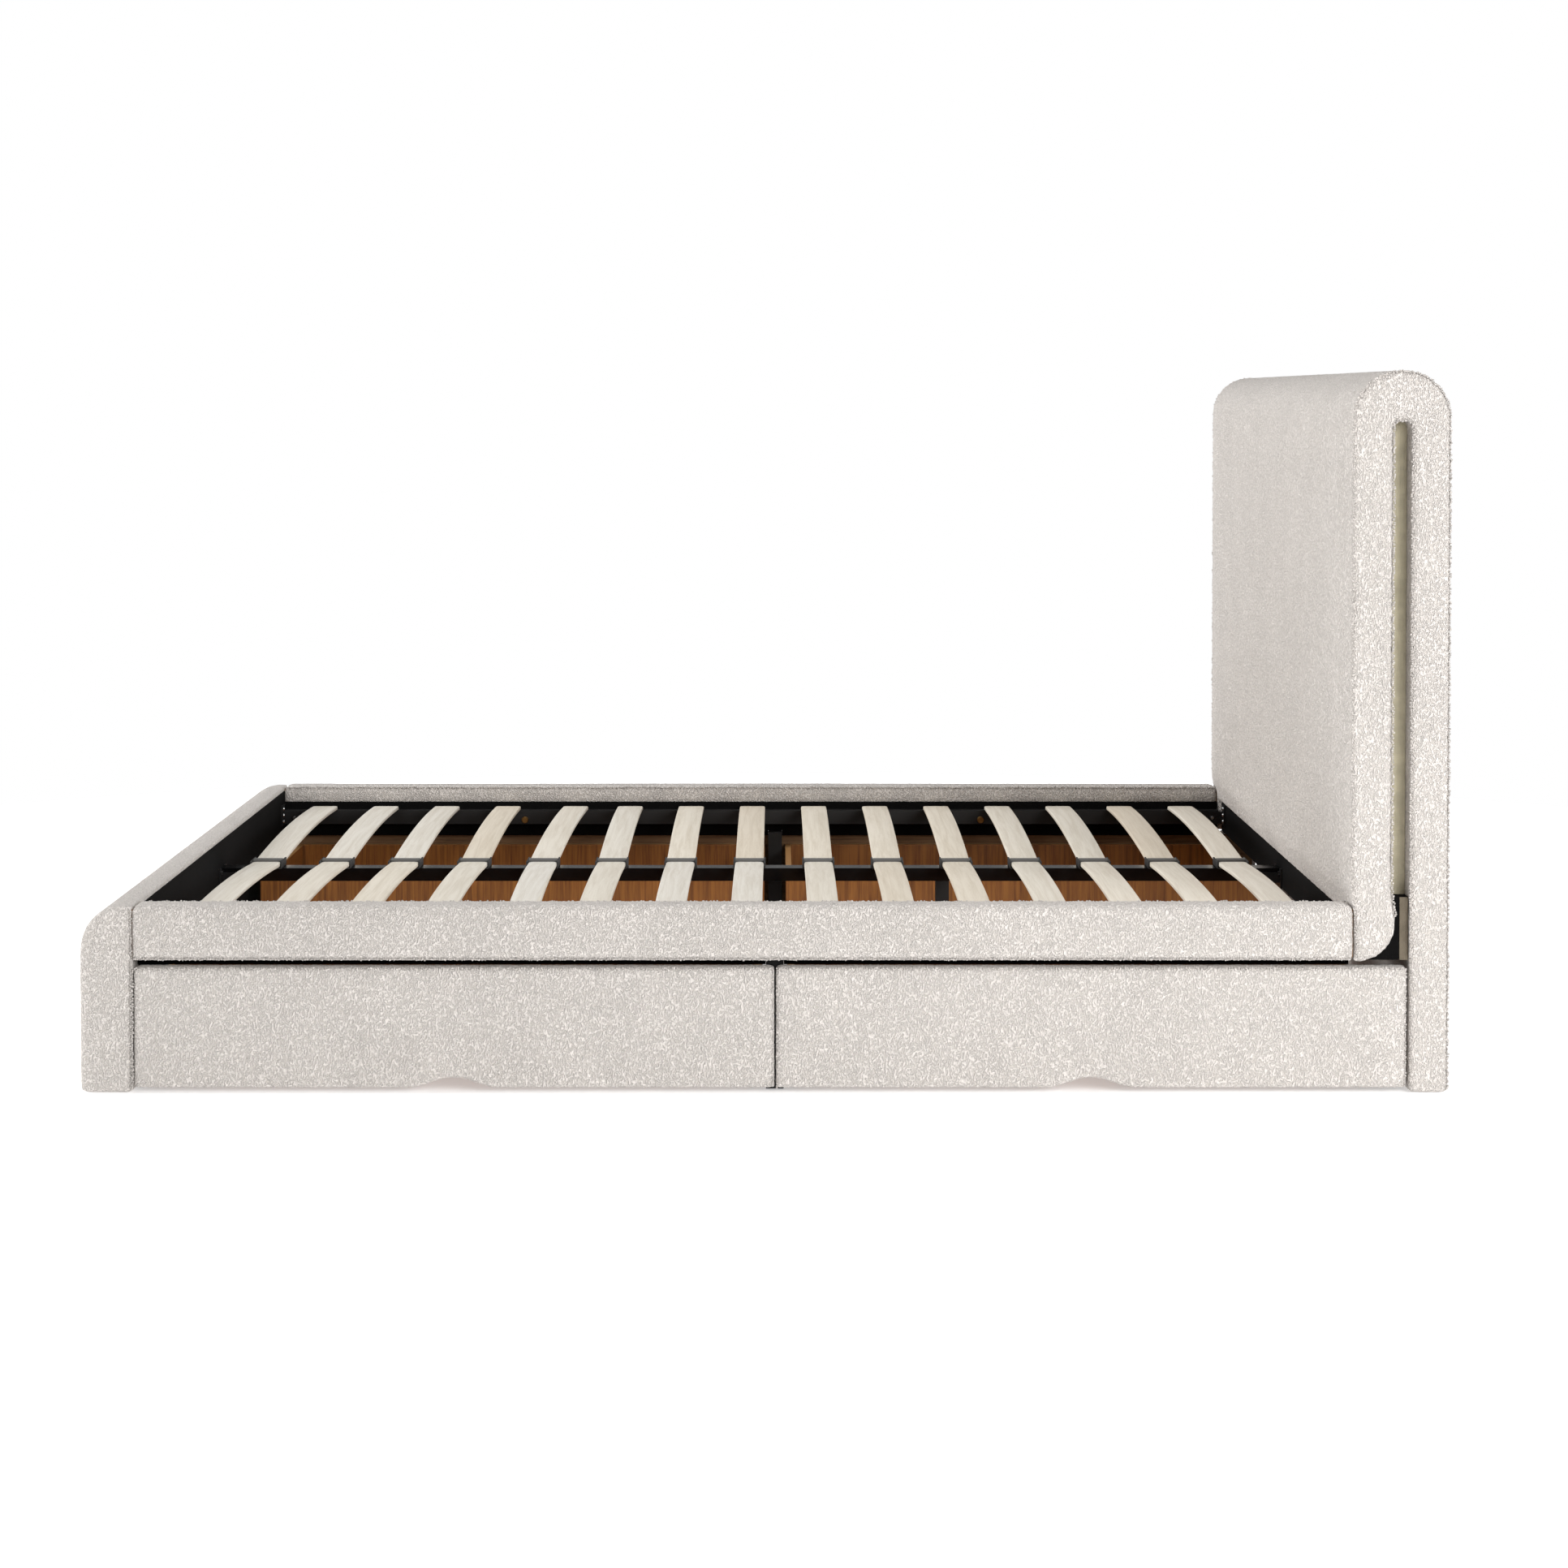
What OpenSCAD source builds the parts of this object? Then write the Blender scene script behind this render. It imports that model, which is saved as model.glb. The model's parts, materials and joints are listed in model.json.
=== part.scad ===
// Upholstered platform bed with a tall padded headboard and four rolling storage drawers.
// +Y points to the headboard, +X to the right side, and the origin is on the floor under the middle.

/* [Overall] */
// Length from the face of the footboard to the back of the headboard
bed_l = 2304; // [2200:1:2400]
// Width over the side rails
bed_w = 1640; // [1600:1:1700]
// Top of the side rails and the footboard above the floor
rail_top = 318; // [312:1:330]
// Underside of the side rails above the floor
rail_bottom = 221; // [219:1:224]
// Thickness of a covered side rail
rail_t = 56; // [50:1:64]
// Thickness of fabric and foam on the rails, drawers and headboard back
pad_t = 8; // [6:1:9]

/* [Footboard] */
// Thickness of the covered footboard
foot_t = 86; // [80:1:95]
// Radius of the footboard's outer top edge
foot_round = 72; // [60:1:76]

/* [Headboard] */
// Height of the headboard
head_h = 1218; // [1100:1:1300]
// Thickness of the back leg, which stands on the floor
back_leg_t = 68; // [62:1:72]
// Thickness of the front panel, which ends level with the rails
front_leg_t = 71; // [68:1:76]
// Width of the slot between the front panel and the back leg
slot_t = 23; // [18:1:26]
// Thickness of the deep padding on the front face
front_pad = 16; // [14:1:20]
// Depth of the groove that the slot makes in each side of the headboard
slot_depth = 45; // [30:1:60]
// Radius of the front panel's lower back edge
front_leg_round = 66; // [50:1:66]
// Top of the black spacer beam that closes the foot of the slot
spacer_top = 330; // [300:1:340]

/* [Slats] */
// Number of slats on each side
slat_count = 15; // [12:1:15]
// Distance between slats, centre to centre
slat_pitch = 134; // [130:1:134]
// Width of a slat
slat_w = 55; // [50:1:60]
// Thickness of a slat
slat_t = 8; // [7:1:9]
// Rise of the slat's bow above its chord
slat_bow = 10; // [6:1:14]
// Top of a slat at its outer end
slat_outer_top = 276; // [274:1:278]
// Top of a slat at its inner end
slat_inner_top = 269.5; // [268:0.5:271]

/* [Drawers] */
// Underside of the drawer fronts above the floor
front_bottom = 8; // [6:1:10]
// Top of the drawer fronts above the floor
front_top = 217; // [212:1:217]
// Thickness of a covered drawer front
front_t = 34; // [32:1:38]
// Depth of a drawer box behind its front
box_depth = 500; // [440:1:520]
// Underside of the drawer box above the floor
box_bottom = 34; // [33:1:38]
// Top of the drawer box above the floor
box_top = 188; // [170:1:190]
// Thickness of the drawer box boards
box_wall = 12; // [10:1:15]
// Width of a finger notch at its mouth
notch_w = 150; // [120:1:170]
// Height of a finger notch above the lower edge
notch_h = 17; // [12:1:20]

/* [Casters] */
// Radius of a drawer wheel
wheel_r = 14; // [12:0.5:14]
// Width of a drawer wheel
wheel_w = 14; // [10:1:16]
// Radius of a wheel axle
axle_r = 2.5; // [2:0.1:3]
// Clearance between an axle and its wheel's bore
axle_gap = 0.05; // [0.03:0.01:0.09]

/* [Centre support] */
// Width of the centre rail tube
tube_w = 40; // [30:1:44]
// Height of the centre rail tube
tube_h = 25; // [20:1:30]
// Wall of the centre rail tube
tube_wall = 1.5; // [1.2:0.1:3]
// Size of a square centre leg
leg_w = 26; // [22:1:30]

/* [Hidden] */
$fn = 64;
eps = 1;                       // how far a cutter runs past the face it cuts
clear = 0.3;                   // gap between curved faces that meet
half_l = bed_l / 2;
half_w = bed_w / 2;
foot_in = -half_l + foot_t;    // inner face of the footboard
head_in = half_l - back_leg_t - slot_t - front_leg_t;  // front face of the headboard
back_in = half_l - back_leg_t; // front face of the back leg
slot_in = back_in - slot_t;    // back face of the front panel
rail_in = half_w - rail_t;     // inner face of a side rail
rail_round = 12;               // edge radius of rails and drawer fronts
wrap_h = 34;                   // how far the fabric turns down inside the bed
wrap_z = rail_top - wrap_h;
lining_t = 6;                  // black lining boards
lining_drop = 11;              // a rail's lining hangs below it, behind the gap over the drawers
foot_lining_top = rail_top - 10;
head_tuck_z = 290;             // lower edge of the front padding inside the bed
head_lining = head_in + front_pad;                     // back face of the head lining
arch_r = (half_l - head_in) / 2;                       // headboard's top is a half circle
arch_y = half_l - arch_r;
arch_z = head_h - arch_r;
slot_top = arch_z - 5.5;
ledge_top = slat_outer_top - slat_t;
ledge_h = 30;
ledge_w = 24;
lining_in = rail_in + pad_t - lining_t;                // inner face of a rail's lining
ledge_in = lining_in - ledge_w;
slat_end = lining_in - 12;     // outer end of a slat
slat_start = 12;               // inner end of a slat from the middle line
slat_mid_y = -32;
slat_steps = 16;
cap_wall = 3.5;
cap_half = 30;                 // a double cap's half depth across the bed
cap_ridge = 4;                 // how far a cap's middle ridge stands above the slats
tube_top = slat_inner_top - slat_t - cap_wall;
leg_ys = [-458, 343];
drawer_gap = 4;                // between the two fronts of a side
front_split = 16;              // where the foot front ends
front_foot_y = [foot_in + 2, front_split];
front_head_y = [front_split + drawer_gap, back_in - 5];
box_foot_y = [foot_in + 32, front_split - 21];
box_head_y = [front_split + 24, head_in + 20];
front_in = half_w - front_t;   // back face of a drawer front
box_in = front_in - box_depth;
bottom_t = 6;
board_inset = 8;               // drawer front board inside its padding
post_w = 30;
post_x = [rail_in - 30, rail_in + 16];
post_y = (box_foot_y[1] + box_head_y[0]) / 2;
wheel_inset_x = [60, box_depth - 60];
wheel_inset_y = 60;
caster_w = 26;
caster_l = 24;
caster_plate = 3;
bracket_arm = 34;               // steel corner brackets
bracket_t = 3;
screw_zs = [246, 260, 274];
bolt_ys = [-531, 468];
bolt_z = 247;

// ---- helpers ----

// A box between two corners.
module block(lo, hi) {
    translate(lo) cube(hi - lo);
}

// The same thing on the other side of the bed.
module left_side() {
    mirror([1, 0, 0]) children();
}

// A Y-Z outline extruded along X between two places.
module along_x(x0, x1) {
    translate([x0, 0, 0]) rotate([90, 0, 90]) linear_extrude(x1 - x0) children();
}

// An X-Z outline extruded along Y between two places.
module along_y(y0, y1) {
    translate([0, y1, 0]) rotate([90, 0, 0]) linear_extrude(y1 - y0) children();
}

// A rectangle between two corners whose four corners are round.
module round_rect(lo, hi, r) {
    translate([lo[0], lo[1] + r]) square([hi[0] - lo[0], hi[1] - lo[1] - 2 * r]);
    translate([lo[0] + r, lo[1]]) square([hi[0] - lo[0] - 2 * r, hi[1] - lo[1]]);
    for (x = [lo[0] + r, hi[0] - r], y = [lo[1] + r, hi[1] - r]) translate([x, y]) circle(r);
}

// A raised-cosine arch: w wide at its mouth, h high, flat in its middle third.
function arch_points(w, h) = [for (i = [0:12]) [-w / 2 + w / 4 * i / 12, h * (1 - cos(15 * i)) / 2]];

// The finger notch in a drawer front, as an outline whose mouth is open below.
module notch_outline(w, h) {
    rise = arch_points(w, h);
    fall = [for (i = [12:-1:0]) [-rise[i][0], rise[i][1]]];
    polygon(concat([[-w / 2, -2 * eps]], rise, fall, [[w / 2, -2 * eps]]));
}

// ---- footboard ----

// Outline of the footboard, drawn in by g from its outside.
module foot_outline(g) {
    r = foot_round - g;
    y0 = -half_l + g;
    y1 = foot_in - g;
    top = rail_top - g;
    difference() {
        translate([y0, 0]) square([y1 - y0, top]);
        translate([y0 - eps, top - r]) square([r + eps, r + eps]);
    }
    intersection() {
        translate([y0 + r, top - r]) circle(r);
        translate([y0 - eps, top - r - eps]) square([r + 2 * eps, r + 2 * eps]);
    }
}

module footboard_core() {
    color("burlywood") along_x(-half_w + pad_t, half_w - pad_t) foot_outline(pad_t);
}

module footboard_cover() {
    color("linen") difference() {
        along_x(-half_w, half_w) foot_outline(0);
        along_x(-half_w + pad_t, half_w - pad_t) union() {
            foot_outline(pad_t);
            translate([-half_l + pad_t, -eps]) square([foot_t - 2 * pad_t, 2 * eps]);
        }
    }
}

// ---- side rails ----

module rail_core_right() {
    color("burlywood") block([rail_in + pad_t, foot_in, rail_bottom + pad_t],
                             [half_w - pad_t, head_in, rail_top - pad_t]);
}

module rail_cover_right() {
    color("linen") difference() {
        along_y(foot_in, head_in)
            round_rect([rail_in, rail_bottom], [half_w, rail_top], rail_round);
        block([rail_in + pad_t, foot_in - eps, rail_bottom + pad_t],
              [half_w - pad_t, head_in + eps, rail_top - pad_t]);
        block([rail_in - eps, foot_in - eps, rail_bottom - eps],
              [rail_in + pad_t + eps, head_in + eps, wrap_z]);
    }
}

module rail_lining_right() {
    color("black") difference() {
        block([lining_in, foot_in, rail_bottom - lining_drop],
              [lining_in + lining_t, head_in, wrap_z]);
        block([post_x[0], post_y - post_w / 2 - clear, 0],
              [post_x[1], post_y + post_w / 2 + clear, rail_bottom]);
    }
}

module foot_lining() {
    color("black") block([-rail_in, foot_in, rail_bottom - 140],
                         [rail_in, foot_in + lining_t, foot_lining_top]);
}

module head_lining() {
    color("black") block([-rail_in, head_lining - lining_t, rail_bottom],
                         [rail_in, head_lining, head_tuck_z]);
}

// ---- headboard ----

// Outline of the folded headboard, drawn in by g from its outside.
// The front panel is drawn in by its own, deeper padding g_front.
module head_outline(g, g_front) {
    round_r = front_leg_round - g;
    difference() {
        union() {
            translate([head_in + g_front, 0]) square([half_l - head_in - g_front - g, arch_z]);
            intersection() {
                translate([arch_y, arch_z]) circle(arch_r - g);
                translate([head_in + g_front, arch_z - eps]) square([2 * arch_r, arch_r + 2 * eps]);
            }
        }
        translate([slot_in - g, -eps]) square([slot_t + 2 * g, slot_top + g + eps]);
        translate([head_in - eps, -eps]) square([slot_in - head_in + eps, rail_bottom + g + eps]);
        difference() {
            translate([slot_in - g - round_r, rail_bottom + g - eps]) square([round_r + g + eps, round_r + eps]);
            translate([slot_in - g - round_r, rail_bottom + g + round_r]) circle(round_r);
        }
    }
}

// The part of the plane that holds the outline between two heights and two depths.
module keep(y0, y1, z0, z1) {
    intersection() {
        children();
        translate([y0, z0]) square([y1 - y0, z1 - z0]);
    }
}

module headboard_front_core() {
    color("burlywood") along_x(-half_w + pad_t, half_w - pad_t)
        keep(head_in, arch_y, 0, slot_top + pad_t) head_outline(pad_t, front_pad);
}

module headboard_back_core() {
    color("burlywood") along_x(-half_w + pad_t, half_w - pad_t)
        keep(arch_y, half_l, 0, slot_top + pad_t) head_outline(pad_t, front_pad);
}

module headboard_top_core() {
    color("burlywood") along_x(-half_w + pad_t, half_w - pad_t)
        keep(head_in, half_l, slot_top + pad_t, head_h) head_outline(pad_t, front_pad);
}

module headboard_cover() {
    color("linen") difference() {
        along_x(-half_w, half_w) head_outline(0, 0);
        along_x(-half_w + pad_t, half_w - pad_t) union() {
            head_outline(pad_t, front_pad);
            translate([back_in + pad_t, -eps]) square([back_leg_t - 2 * pad_t, 2 * eps]);
        }
        block([-rail_in, head_in - eps, rail_bottom - eps], [rail_in, head_lining + eps, head_tuck_z]);
    }
}

module headboard_spacer() {
    inset = 14;
    color("black") along_x(-half_w + inset, half_w - inset) difference() {
        translate([slot_in - front_leg_round + 12, rail_bottom + 3])
            square([front_leg_round - 12 + slot_t, spacer_top - rail_bottom - 3]);
        translate([slot_in - front_leg_round, rail_bottom + front_leg_round])
            circle(front_leg_round + clear);
        translate([head_in, rail_bottom + front_leg_round]) square([front_leg_t + clear, spacer_top]);
    }
}

// Joins the front panel and the back leg, and is the bottom of the groove between them.
module headboard_slot_panel() {
    color("tan") block([-half_w + slot_depth, slot_in, spacer_top],
                       [half_w - slot_depth, back_in, slot_top]);
}

// ---- slats and their supports ----

module slat_ledge_right() {
    color("black") block([ledge_in, foot_in + lining_t, ledge_top - ledge_h],
                         [lining_in, head_in, ledge_top]);
}

// Height of a slat's top at a share t of the way from its inner to its outer end.
function slat_z(t) = slat_inner_top + (slat_outer_top - slat_inner_top) * t + 4 * slat_bow * t * (1 - t);

// The pocketed inner end is level, so the bow starts where the slat leaves its cap.
function slat_line(dz) = concat([[slat_start, slat_inner_top + dz]],
    [for (i = [0:slat_steps]) [cap_half + (slat_end - cap_half) * i / slat_steps,
                               slat_z(i / slat_steps) + dz]]);

module slat() {
    outline = slat_line(0);
    below = slat_line(-slat_t);
    n = len(below);
    along_y(-slat_w / 2, slat_w / 2)
        polygon(concat(outline, [for (i = [n - 1:-1:0]) below[i]]));
}

// Places children at every slat of a row.
module at_slats() {
    for (i = [0:slat_count - 1])
        translate([0, slat_mid_y + (i - (slat_count - 1) / 2) * slat_pitch, 0]) children();
}

module slats_right() {
    color("wheat") at_slats() slat();
}

// A double cap is an open tray for two slat ends with a raised ridge between them.
module slat_caps() {
    w = slat_w / 2 + cap_wall;
    color("dimgray") at_slats() {
        difference() {
            block([-cap_half, -w, tube_top], [cap_half, w, slat_inner_top - 1]);
            for (s = [-1, 1]) scale([s, 1, 1])
                block([slat_start, -slat_w / 2, slat_inner_top - slat_t],
                      [cap_half + eps, slat_w / 2, slat_inner_top]);
        }
        block([-slat_start, -w, tube_top], [slat_start, w, slat_inner_top + cap_ridge]);
    }
}

module centre_rail() {
    y0 = foot_in + lining_t;
    y1 = head_lining - lining_t;
    color("gainsboro") difference() {
        block([-tube_w / 2, y0, tube_top - tube_h], [tube_w / 2, y1, tube_top]);
        block([-tube_w / 2 + tube_wall, y0 - eps, tube_top - tube_h + tube_wall],
              [tube_w / 2 - tube_wall, y1 + eps, tube_top - tube_wall]);
    }
}

module centre_rail_brackets() {
    wide = 70;
    deep = 40;
    thick = 3;
    color("silver") for (end = [[foot_in + lining_t, 1], [head_lining - lining_t, -1]])
        translate([0, end[0], 0]) scale([1, end[1], 1]) {
            block([-wide / 2, 0, tube_top - tube_h - thick], [-tube_w / 2, thick, tube_top]);
            block([tube_w / 2, 0, tube_top - tube_h - thick], [wide / 2, thick, tube_top]);
            block([-wide / 2, 0, tube_top - tube_h - thick - 14],
                  [wide / 2, thick, tube_top - tube_h - thick]);
            block([-tube_w / 2 - thick, 0, tube_top - tube_h - thick],
                  [tube_w / 2 + thick, deep, tube_top - tube_h]);
            for (s = [-1, 1]) scale([s, 1, 1]) {
                block([tube_w / 2, 0, tube_top - tube_h - thick],
                      [tube_w / 2 + thick, deep, tube_top - 8]);
                translate([wide / 2 - 7, thick, tube_top - 8]) rotate([-90, 0, 0]) cylinder(4, 4, 4);
            }
        }
}

module centre_legs() {
    color("black") for (y = leg_ys)
        block([-leg_w / 2, y - leg_w / 2, 0], [leg_w / 2, y + leg_w / 2, tube_top - tube_h]);
}

// Posts stand between the two drawer boxes of a side and carry the rail.
module side_posts() {
    color("black") for (s = [-1, 1]) scale([s, 1, 1])
        block([post_x[0], post_y - post_w / 2, 0], [post_x[1], post_y + post_w / 2, rail_bottom]);
}

// ---- steel corner brackets and fixings ----

// Places children at the inner end of each ledge, with +X and +Y pointing into the corner.
module at_corners() {
    for (s = [-1, 1], end = [[foot_in + lining_t, -1], [head_lining - lining_t, 1]])
        scale([s, 1, 1]) translate([ledge_in, end[0], 0]) scale([1, end[1], 1]) children();
}

module corner_brackets() {
    color("dimgray") at_corners() {
        block([-bracket_arm, -bracket_t, bolt_z - 9], [0, 0, wrap_z - 2]);
        block([-bracket_t, -bracket_arm, bolt_z - 9], [0, 0, ledge_top - 2]);
    }
}

module corner_screws() {
    color("silver") at_corners() {
        for (z = screw_zs) translate([-bracket_arm / 2 - 2, -bracket_t, z])
            rotate([90, 0, 0]) cylinder(2, 4, 3);
        translate([-bracket_t, -bracket_arm + 10, bolt_z + 5]) rotate([0, -90, 0]) cylinder(2, 4, 3);
    }
}

module ledge_bolts() {
    color("goldenrod") for (s = [-1, 1], y = bolt_ys) scale([s, 1, 1])
        translate([ledge_in, y, bolt_z]) rotate([0, -90, 0]) cylinder(4, 8, 6);
}

// ---- drawers, drawn on the right side between y[0] and y[1] ----

// Outline of a drawer front drawn in by g, with its notch grown by the same amount.
module front_outline(y, g, r) {
    difference() {
        round_rect([y[0] + g, front_bottom + g], [y[1] - g, front_top - g], r);
        translate([(y[0] + y[1]) / 2, front_bottom + g]) notch_outline(notch_w + 2 * g, notch_h);
    }
}

module front_board(y) {
    color("burlywood") along_x(front_in, half_w - pad_t) front_outline(y, board_inset, 4);
}

module front_cover(y) {
    color("linen") difference() {
        along_x(front_in, half_w) front_outline(y, 0, rail_round);
        along_x(front_in - eps, half_w - pad_t) front_outline(y, board_inset, 4);
    }
}

module box_sides(y) {
    color("peru") for (y0 = [y[0], y[1] - box_wall])
        block([box_in, y0, box_bottom], [front_in, y0 + box_wall, box_top]);
}

module box_long_walls(y) {
    color("peru") for (x0 = [box_in, front_in - box_wall])
        block([x0, y[0] + box_wall, box_bottom], [x0 + box_wall, y[1] - box_wall, box_top]);
}

module box_floor(y) {
    color("tan") block([box_in + box_wall, y[0] + box_wall, box_bottom],
                       [front_in - box_wall, y[1] - box_wall, box_bottom + bottom_t]);
}

// Places children at the two casters that stand inset_x from the drawer front.
module at_wheels(y, inset_x) {
    for (yc = [y[0] + wheel_inset_y, y[1] - wheel_inset_y])
        translate([front_in - inset_x, yc, wheel_r]) children();
}

module casters(y) {
    cheek = 3;
    color("black") for (inset = wheel_inset_x) at_wheels(y, inset) {
        block([-caster_l / 2, -caster_w / 2, box_bottom - caster_plate - wheel_r],
              [caster_l / 2, caster_w / 2, box_bottom - wheel_r]);
        for (s = [-1, 1]) scale([1, s, 1])
            block([-6, caster_w / 2 - cheek, -6], [6, caster_w / 2, box_bottom - caster_plate - wheel_r]);
        rotate([90, 0, 0]) cylinder(caster_w - cheek, axle_r, axle_r, center = true);
    }
}

module wheels(y, inset) {
    color("dimgray") at_wheels(y, inset) rotate([90, 0, 0]) difference() {
        cylinder(wheel_w, wheel_r, wheel_r, center = true);
        cylinder(wheel_w + 2 * eps, axle_r + axle_gap, axle_r + axle_gap, center = true);
    }
}

// ---- every piece ----

footboard_core();
footboard_cover();
rail_core_right();
left_side() rail_core_right();  // rail_core_left
rail_cover_right();
left_side() rail_cover_right();  // rail_cover_left
rail_lining_right();
left_side() rail_lining_right();  // rail_lining_left
foot_lining();
head_lining();
headboard_back_core();
headboard_front_core();
headboard_top_core();
headboard_cover();
headboard_spacer();
headboard_slot_panel();
slat_ledge_right();
left_side() slat_ledge_right();  // slat_ledge_left
slats_right();
left_side() slats_right();  // slats_left
slat_caps();
centre_rail();
centre_rail_brackets();
centre_legs();
side_posts();
corner_brackets();
corner_screws();
ledge_bolts();
front_board(front_foot_y);  // right_foot_front_board
front_cover(front_foot_y);  // right_foot_front_cover
box_sides(box_foot_y);  // right_foot_box_sides
box_long_walls(box_foot_y);  // right_foot_box_long_walls
box_floor(box_foot_y);  // right_foot_box_bottom
casters(box_foot_y);  // right_foot_casters
wheels(box_foot_y, wheel_inset_x[0]);  // right_foot_wheels_outer
wheels(box_foot_y, wheel_inset_x[1]);  // right_foot_wheels_inner
front_board(front_head_y);  // right_head_front_board
front_cover(front_head_y);  // right_head_front_cover
box_sides(box_head_y);  // right_head_box_sides
box_long_walls(box_head_y);  // right_head_box_long_walls
box_floor(box_head_y);  // right_head_box_bottom
casters(box_head_y);  // right_head_casters
wheels(box_head_y, wheel_inset_x[0]);  // right_head_wheels_outer
wheels(box_head_y, wheel_inset_x[1]);  // right_head_wheels_inner
left_side() front_board(front_foot_y);  // left_foot_front_board
left_side() front_cover(front_foot_y);  // left_foot_front_cover
left_side() box_sides(box_foot_y);  // left_foot_box_sides
left_side() box_long_walls(box_foot_y);  // left_foot_box_long_walls
left_side() box_floor(box_foot_y);  // left_foot_box_bottom
left_side() casters(box_foot_y);  // left_foot_casters
left_side() wheels(box_foot_y, wheel_inset_x[0]);  // left_foot_wheels_outer
left_side() wheels(box_foot_y, wheel_inset_x[1]);  // left_foot_wheels_inner
left_side() front_board(front_head_y);  // left_head_front_board
left_side() front_cover(front_head_y);  // left_head_front_cover
left_side() box_sides(box_head_y);  // left_head_box_sides
left_side() box_long_walls(box_head_y);  // left_head_box_long_walls
left_side() box_floor(box_head_y);  // left_head_box_bottom
left_side() casters(box_head_y);  // left_head_casters
left_side() wheels(box_head_y, wheel_inset_x[0]);  // left_head_wheels_outer
left_side() wheels(box_head_y, wheel_inset_x[1]);  // left_head_wheels_inner
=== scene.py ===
"""Finish the upholstered storage bed: padded boucle pieces, slats, hardware, materials and studio.

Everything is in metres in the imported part's own frame: +Z is up, +Y points to the headboard, and
the floor is z = 0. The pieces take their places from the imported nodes' boxes.
"""

from __future__ import annotations

import json
import logging
import math
import random
from dataclasses import dataclass, field
from enum import Enum
from typing import Any, Callable, Sequence

import bmesh
import bpy
import numpy as np
from mathutils import Matrix, Vector
from mathutils.kdtree import KDTree

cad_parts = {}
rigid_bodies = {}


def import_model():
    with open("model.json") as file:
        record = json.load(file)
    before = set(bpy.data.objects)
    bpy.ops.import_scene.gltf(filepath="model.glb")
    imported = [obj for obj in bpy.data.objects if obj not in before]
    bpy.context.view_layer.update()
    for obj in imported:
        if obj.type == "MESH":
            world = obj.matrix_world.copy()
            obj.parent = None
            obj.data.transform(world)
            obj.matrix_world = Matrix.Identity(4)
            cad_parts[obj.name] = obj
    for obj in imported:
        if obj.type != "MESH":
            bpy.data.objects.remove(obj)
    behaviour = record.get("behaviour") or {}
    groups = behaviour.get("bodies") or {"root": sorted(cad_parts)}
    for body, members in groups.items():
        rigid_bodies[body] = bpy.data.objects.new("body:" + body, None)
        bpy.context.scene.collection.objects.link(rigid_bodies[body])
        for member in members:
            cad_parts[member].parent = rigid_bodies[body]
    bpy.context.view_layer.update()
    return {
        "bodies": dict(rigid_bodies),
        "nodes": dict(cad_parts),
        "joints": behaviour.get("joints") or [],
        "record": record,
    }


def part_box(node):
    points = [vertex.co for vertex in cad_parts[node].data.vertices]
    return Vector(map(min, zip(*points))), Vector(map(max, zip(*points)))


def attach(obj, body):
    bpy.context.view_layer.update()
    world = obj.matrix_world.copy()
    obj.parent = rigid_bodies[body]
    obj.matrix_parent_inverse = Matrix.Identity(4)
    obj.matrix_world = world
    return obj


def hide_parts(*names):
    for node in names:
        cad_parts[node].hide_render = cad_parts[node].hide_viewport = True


LOG = logging.getLogger("bed")
MM = 0.001
NEAR = 0.1 * MM
FRAME_BODY = "bed_frame"
# The headboard's front foam stands this far forward of its joint with the rails.
LEAN = 6 * MM
# The slats' pitch, their number in a row, the middle of the rows, and so each slat's place.
SLAT_PITCH, SLAT_COUNT, SLAT_MIDDLE = 134 * MM, 15, -32 * MM
SLAT_PLACES = [SLAT_MIDDLE + (i - (SLAT_COUNT - 1) / 2) * SLAT_PITCH for i in range(SLAT_COUNT)]

Point = tuple[float, float]
Test = Callable[[Vector], bool]


# ---- small helpers --------------------------------------------------------------------------

def linear(code: str) -> tuple[float, float, float, float]:
    """Turn an sRGB hex colour into linear RGBA.

    Args:
        code: Six hex digits, such as "E3DCD3".

    Returns:
        The colour in linear light, with alpha 1.
    """
    parts = [int(code[i:i + 2], 16) / 255 for i in (0, 2, 4)]
    light = [c / 12.92 if c <= 0.04045 else ((c + 0.055) / 1.055) ** 2.4 for c in parts]
    return (*light, 1.0)


def add_node(tree: bpy.types.NodeTree, kind: str, settings: dict[str, Any] | None = None,
             **links: Any) -> bpy.types.Node:
    """Add a shader node with its settings, values and links.

    Args:
        tree: The node tree that gets the node.
        kind: The node's type without its "ShaderNode" prefix.
        settings: Node properties, such as blend_type.
        links: Input values or output sockets by input name, with _ for a space. A name such as
            i0 means the input at that index.

    Returns:
        The new node.
    """
    node = tree.nodes.new("ShaderNode" + kind)
    for name, value in (settings or {}).items():
        setattr(node, name, value)
    for name, value in links.items():
        key = int(name[1:]) if name[0] == "i" and name[1:].isdigit() else name.replace("_", " ")
        if isinstance(value, bpy.types.NodeSocket):
            tree.links.new(value, node.inputs[key])
        else:
            node.inputs[key].default_value = value
    return node


def ramp(tree: bpy.types.NodeTree, factor: bpy.types.NodeSocket,
         stops: Sequence[tuple[float, str]]) -> bpy.types.NodeSocket:
    """Add a colour ramp over hex colours.

    Args:
        tree: The node tree.
        factor: The socket that drives the ramp.
        stops: Positions from 0 to 1, each with its hex colour.

    Returns:
        The ramp's colour socket.
    """
    node = add_node(tree, "ValToRGB", Fac=factor)
    marks = node.color_ramp.elements
    while len(marks) < len(stops):
        marks.new(0.5)
    for mark, (place, code) in zip(marks, stops):
        mark.position = place
        mark.color = linear(code)
    return node.outputs["Color"]


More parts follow.
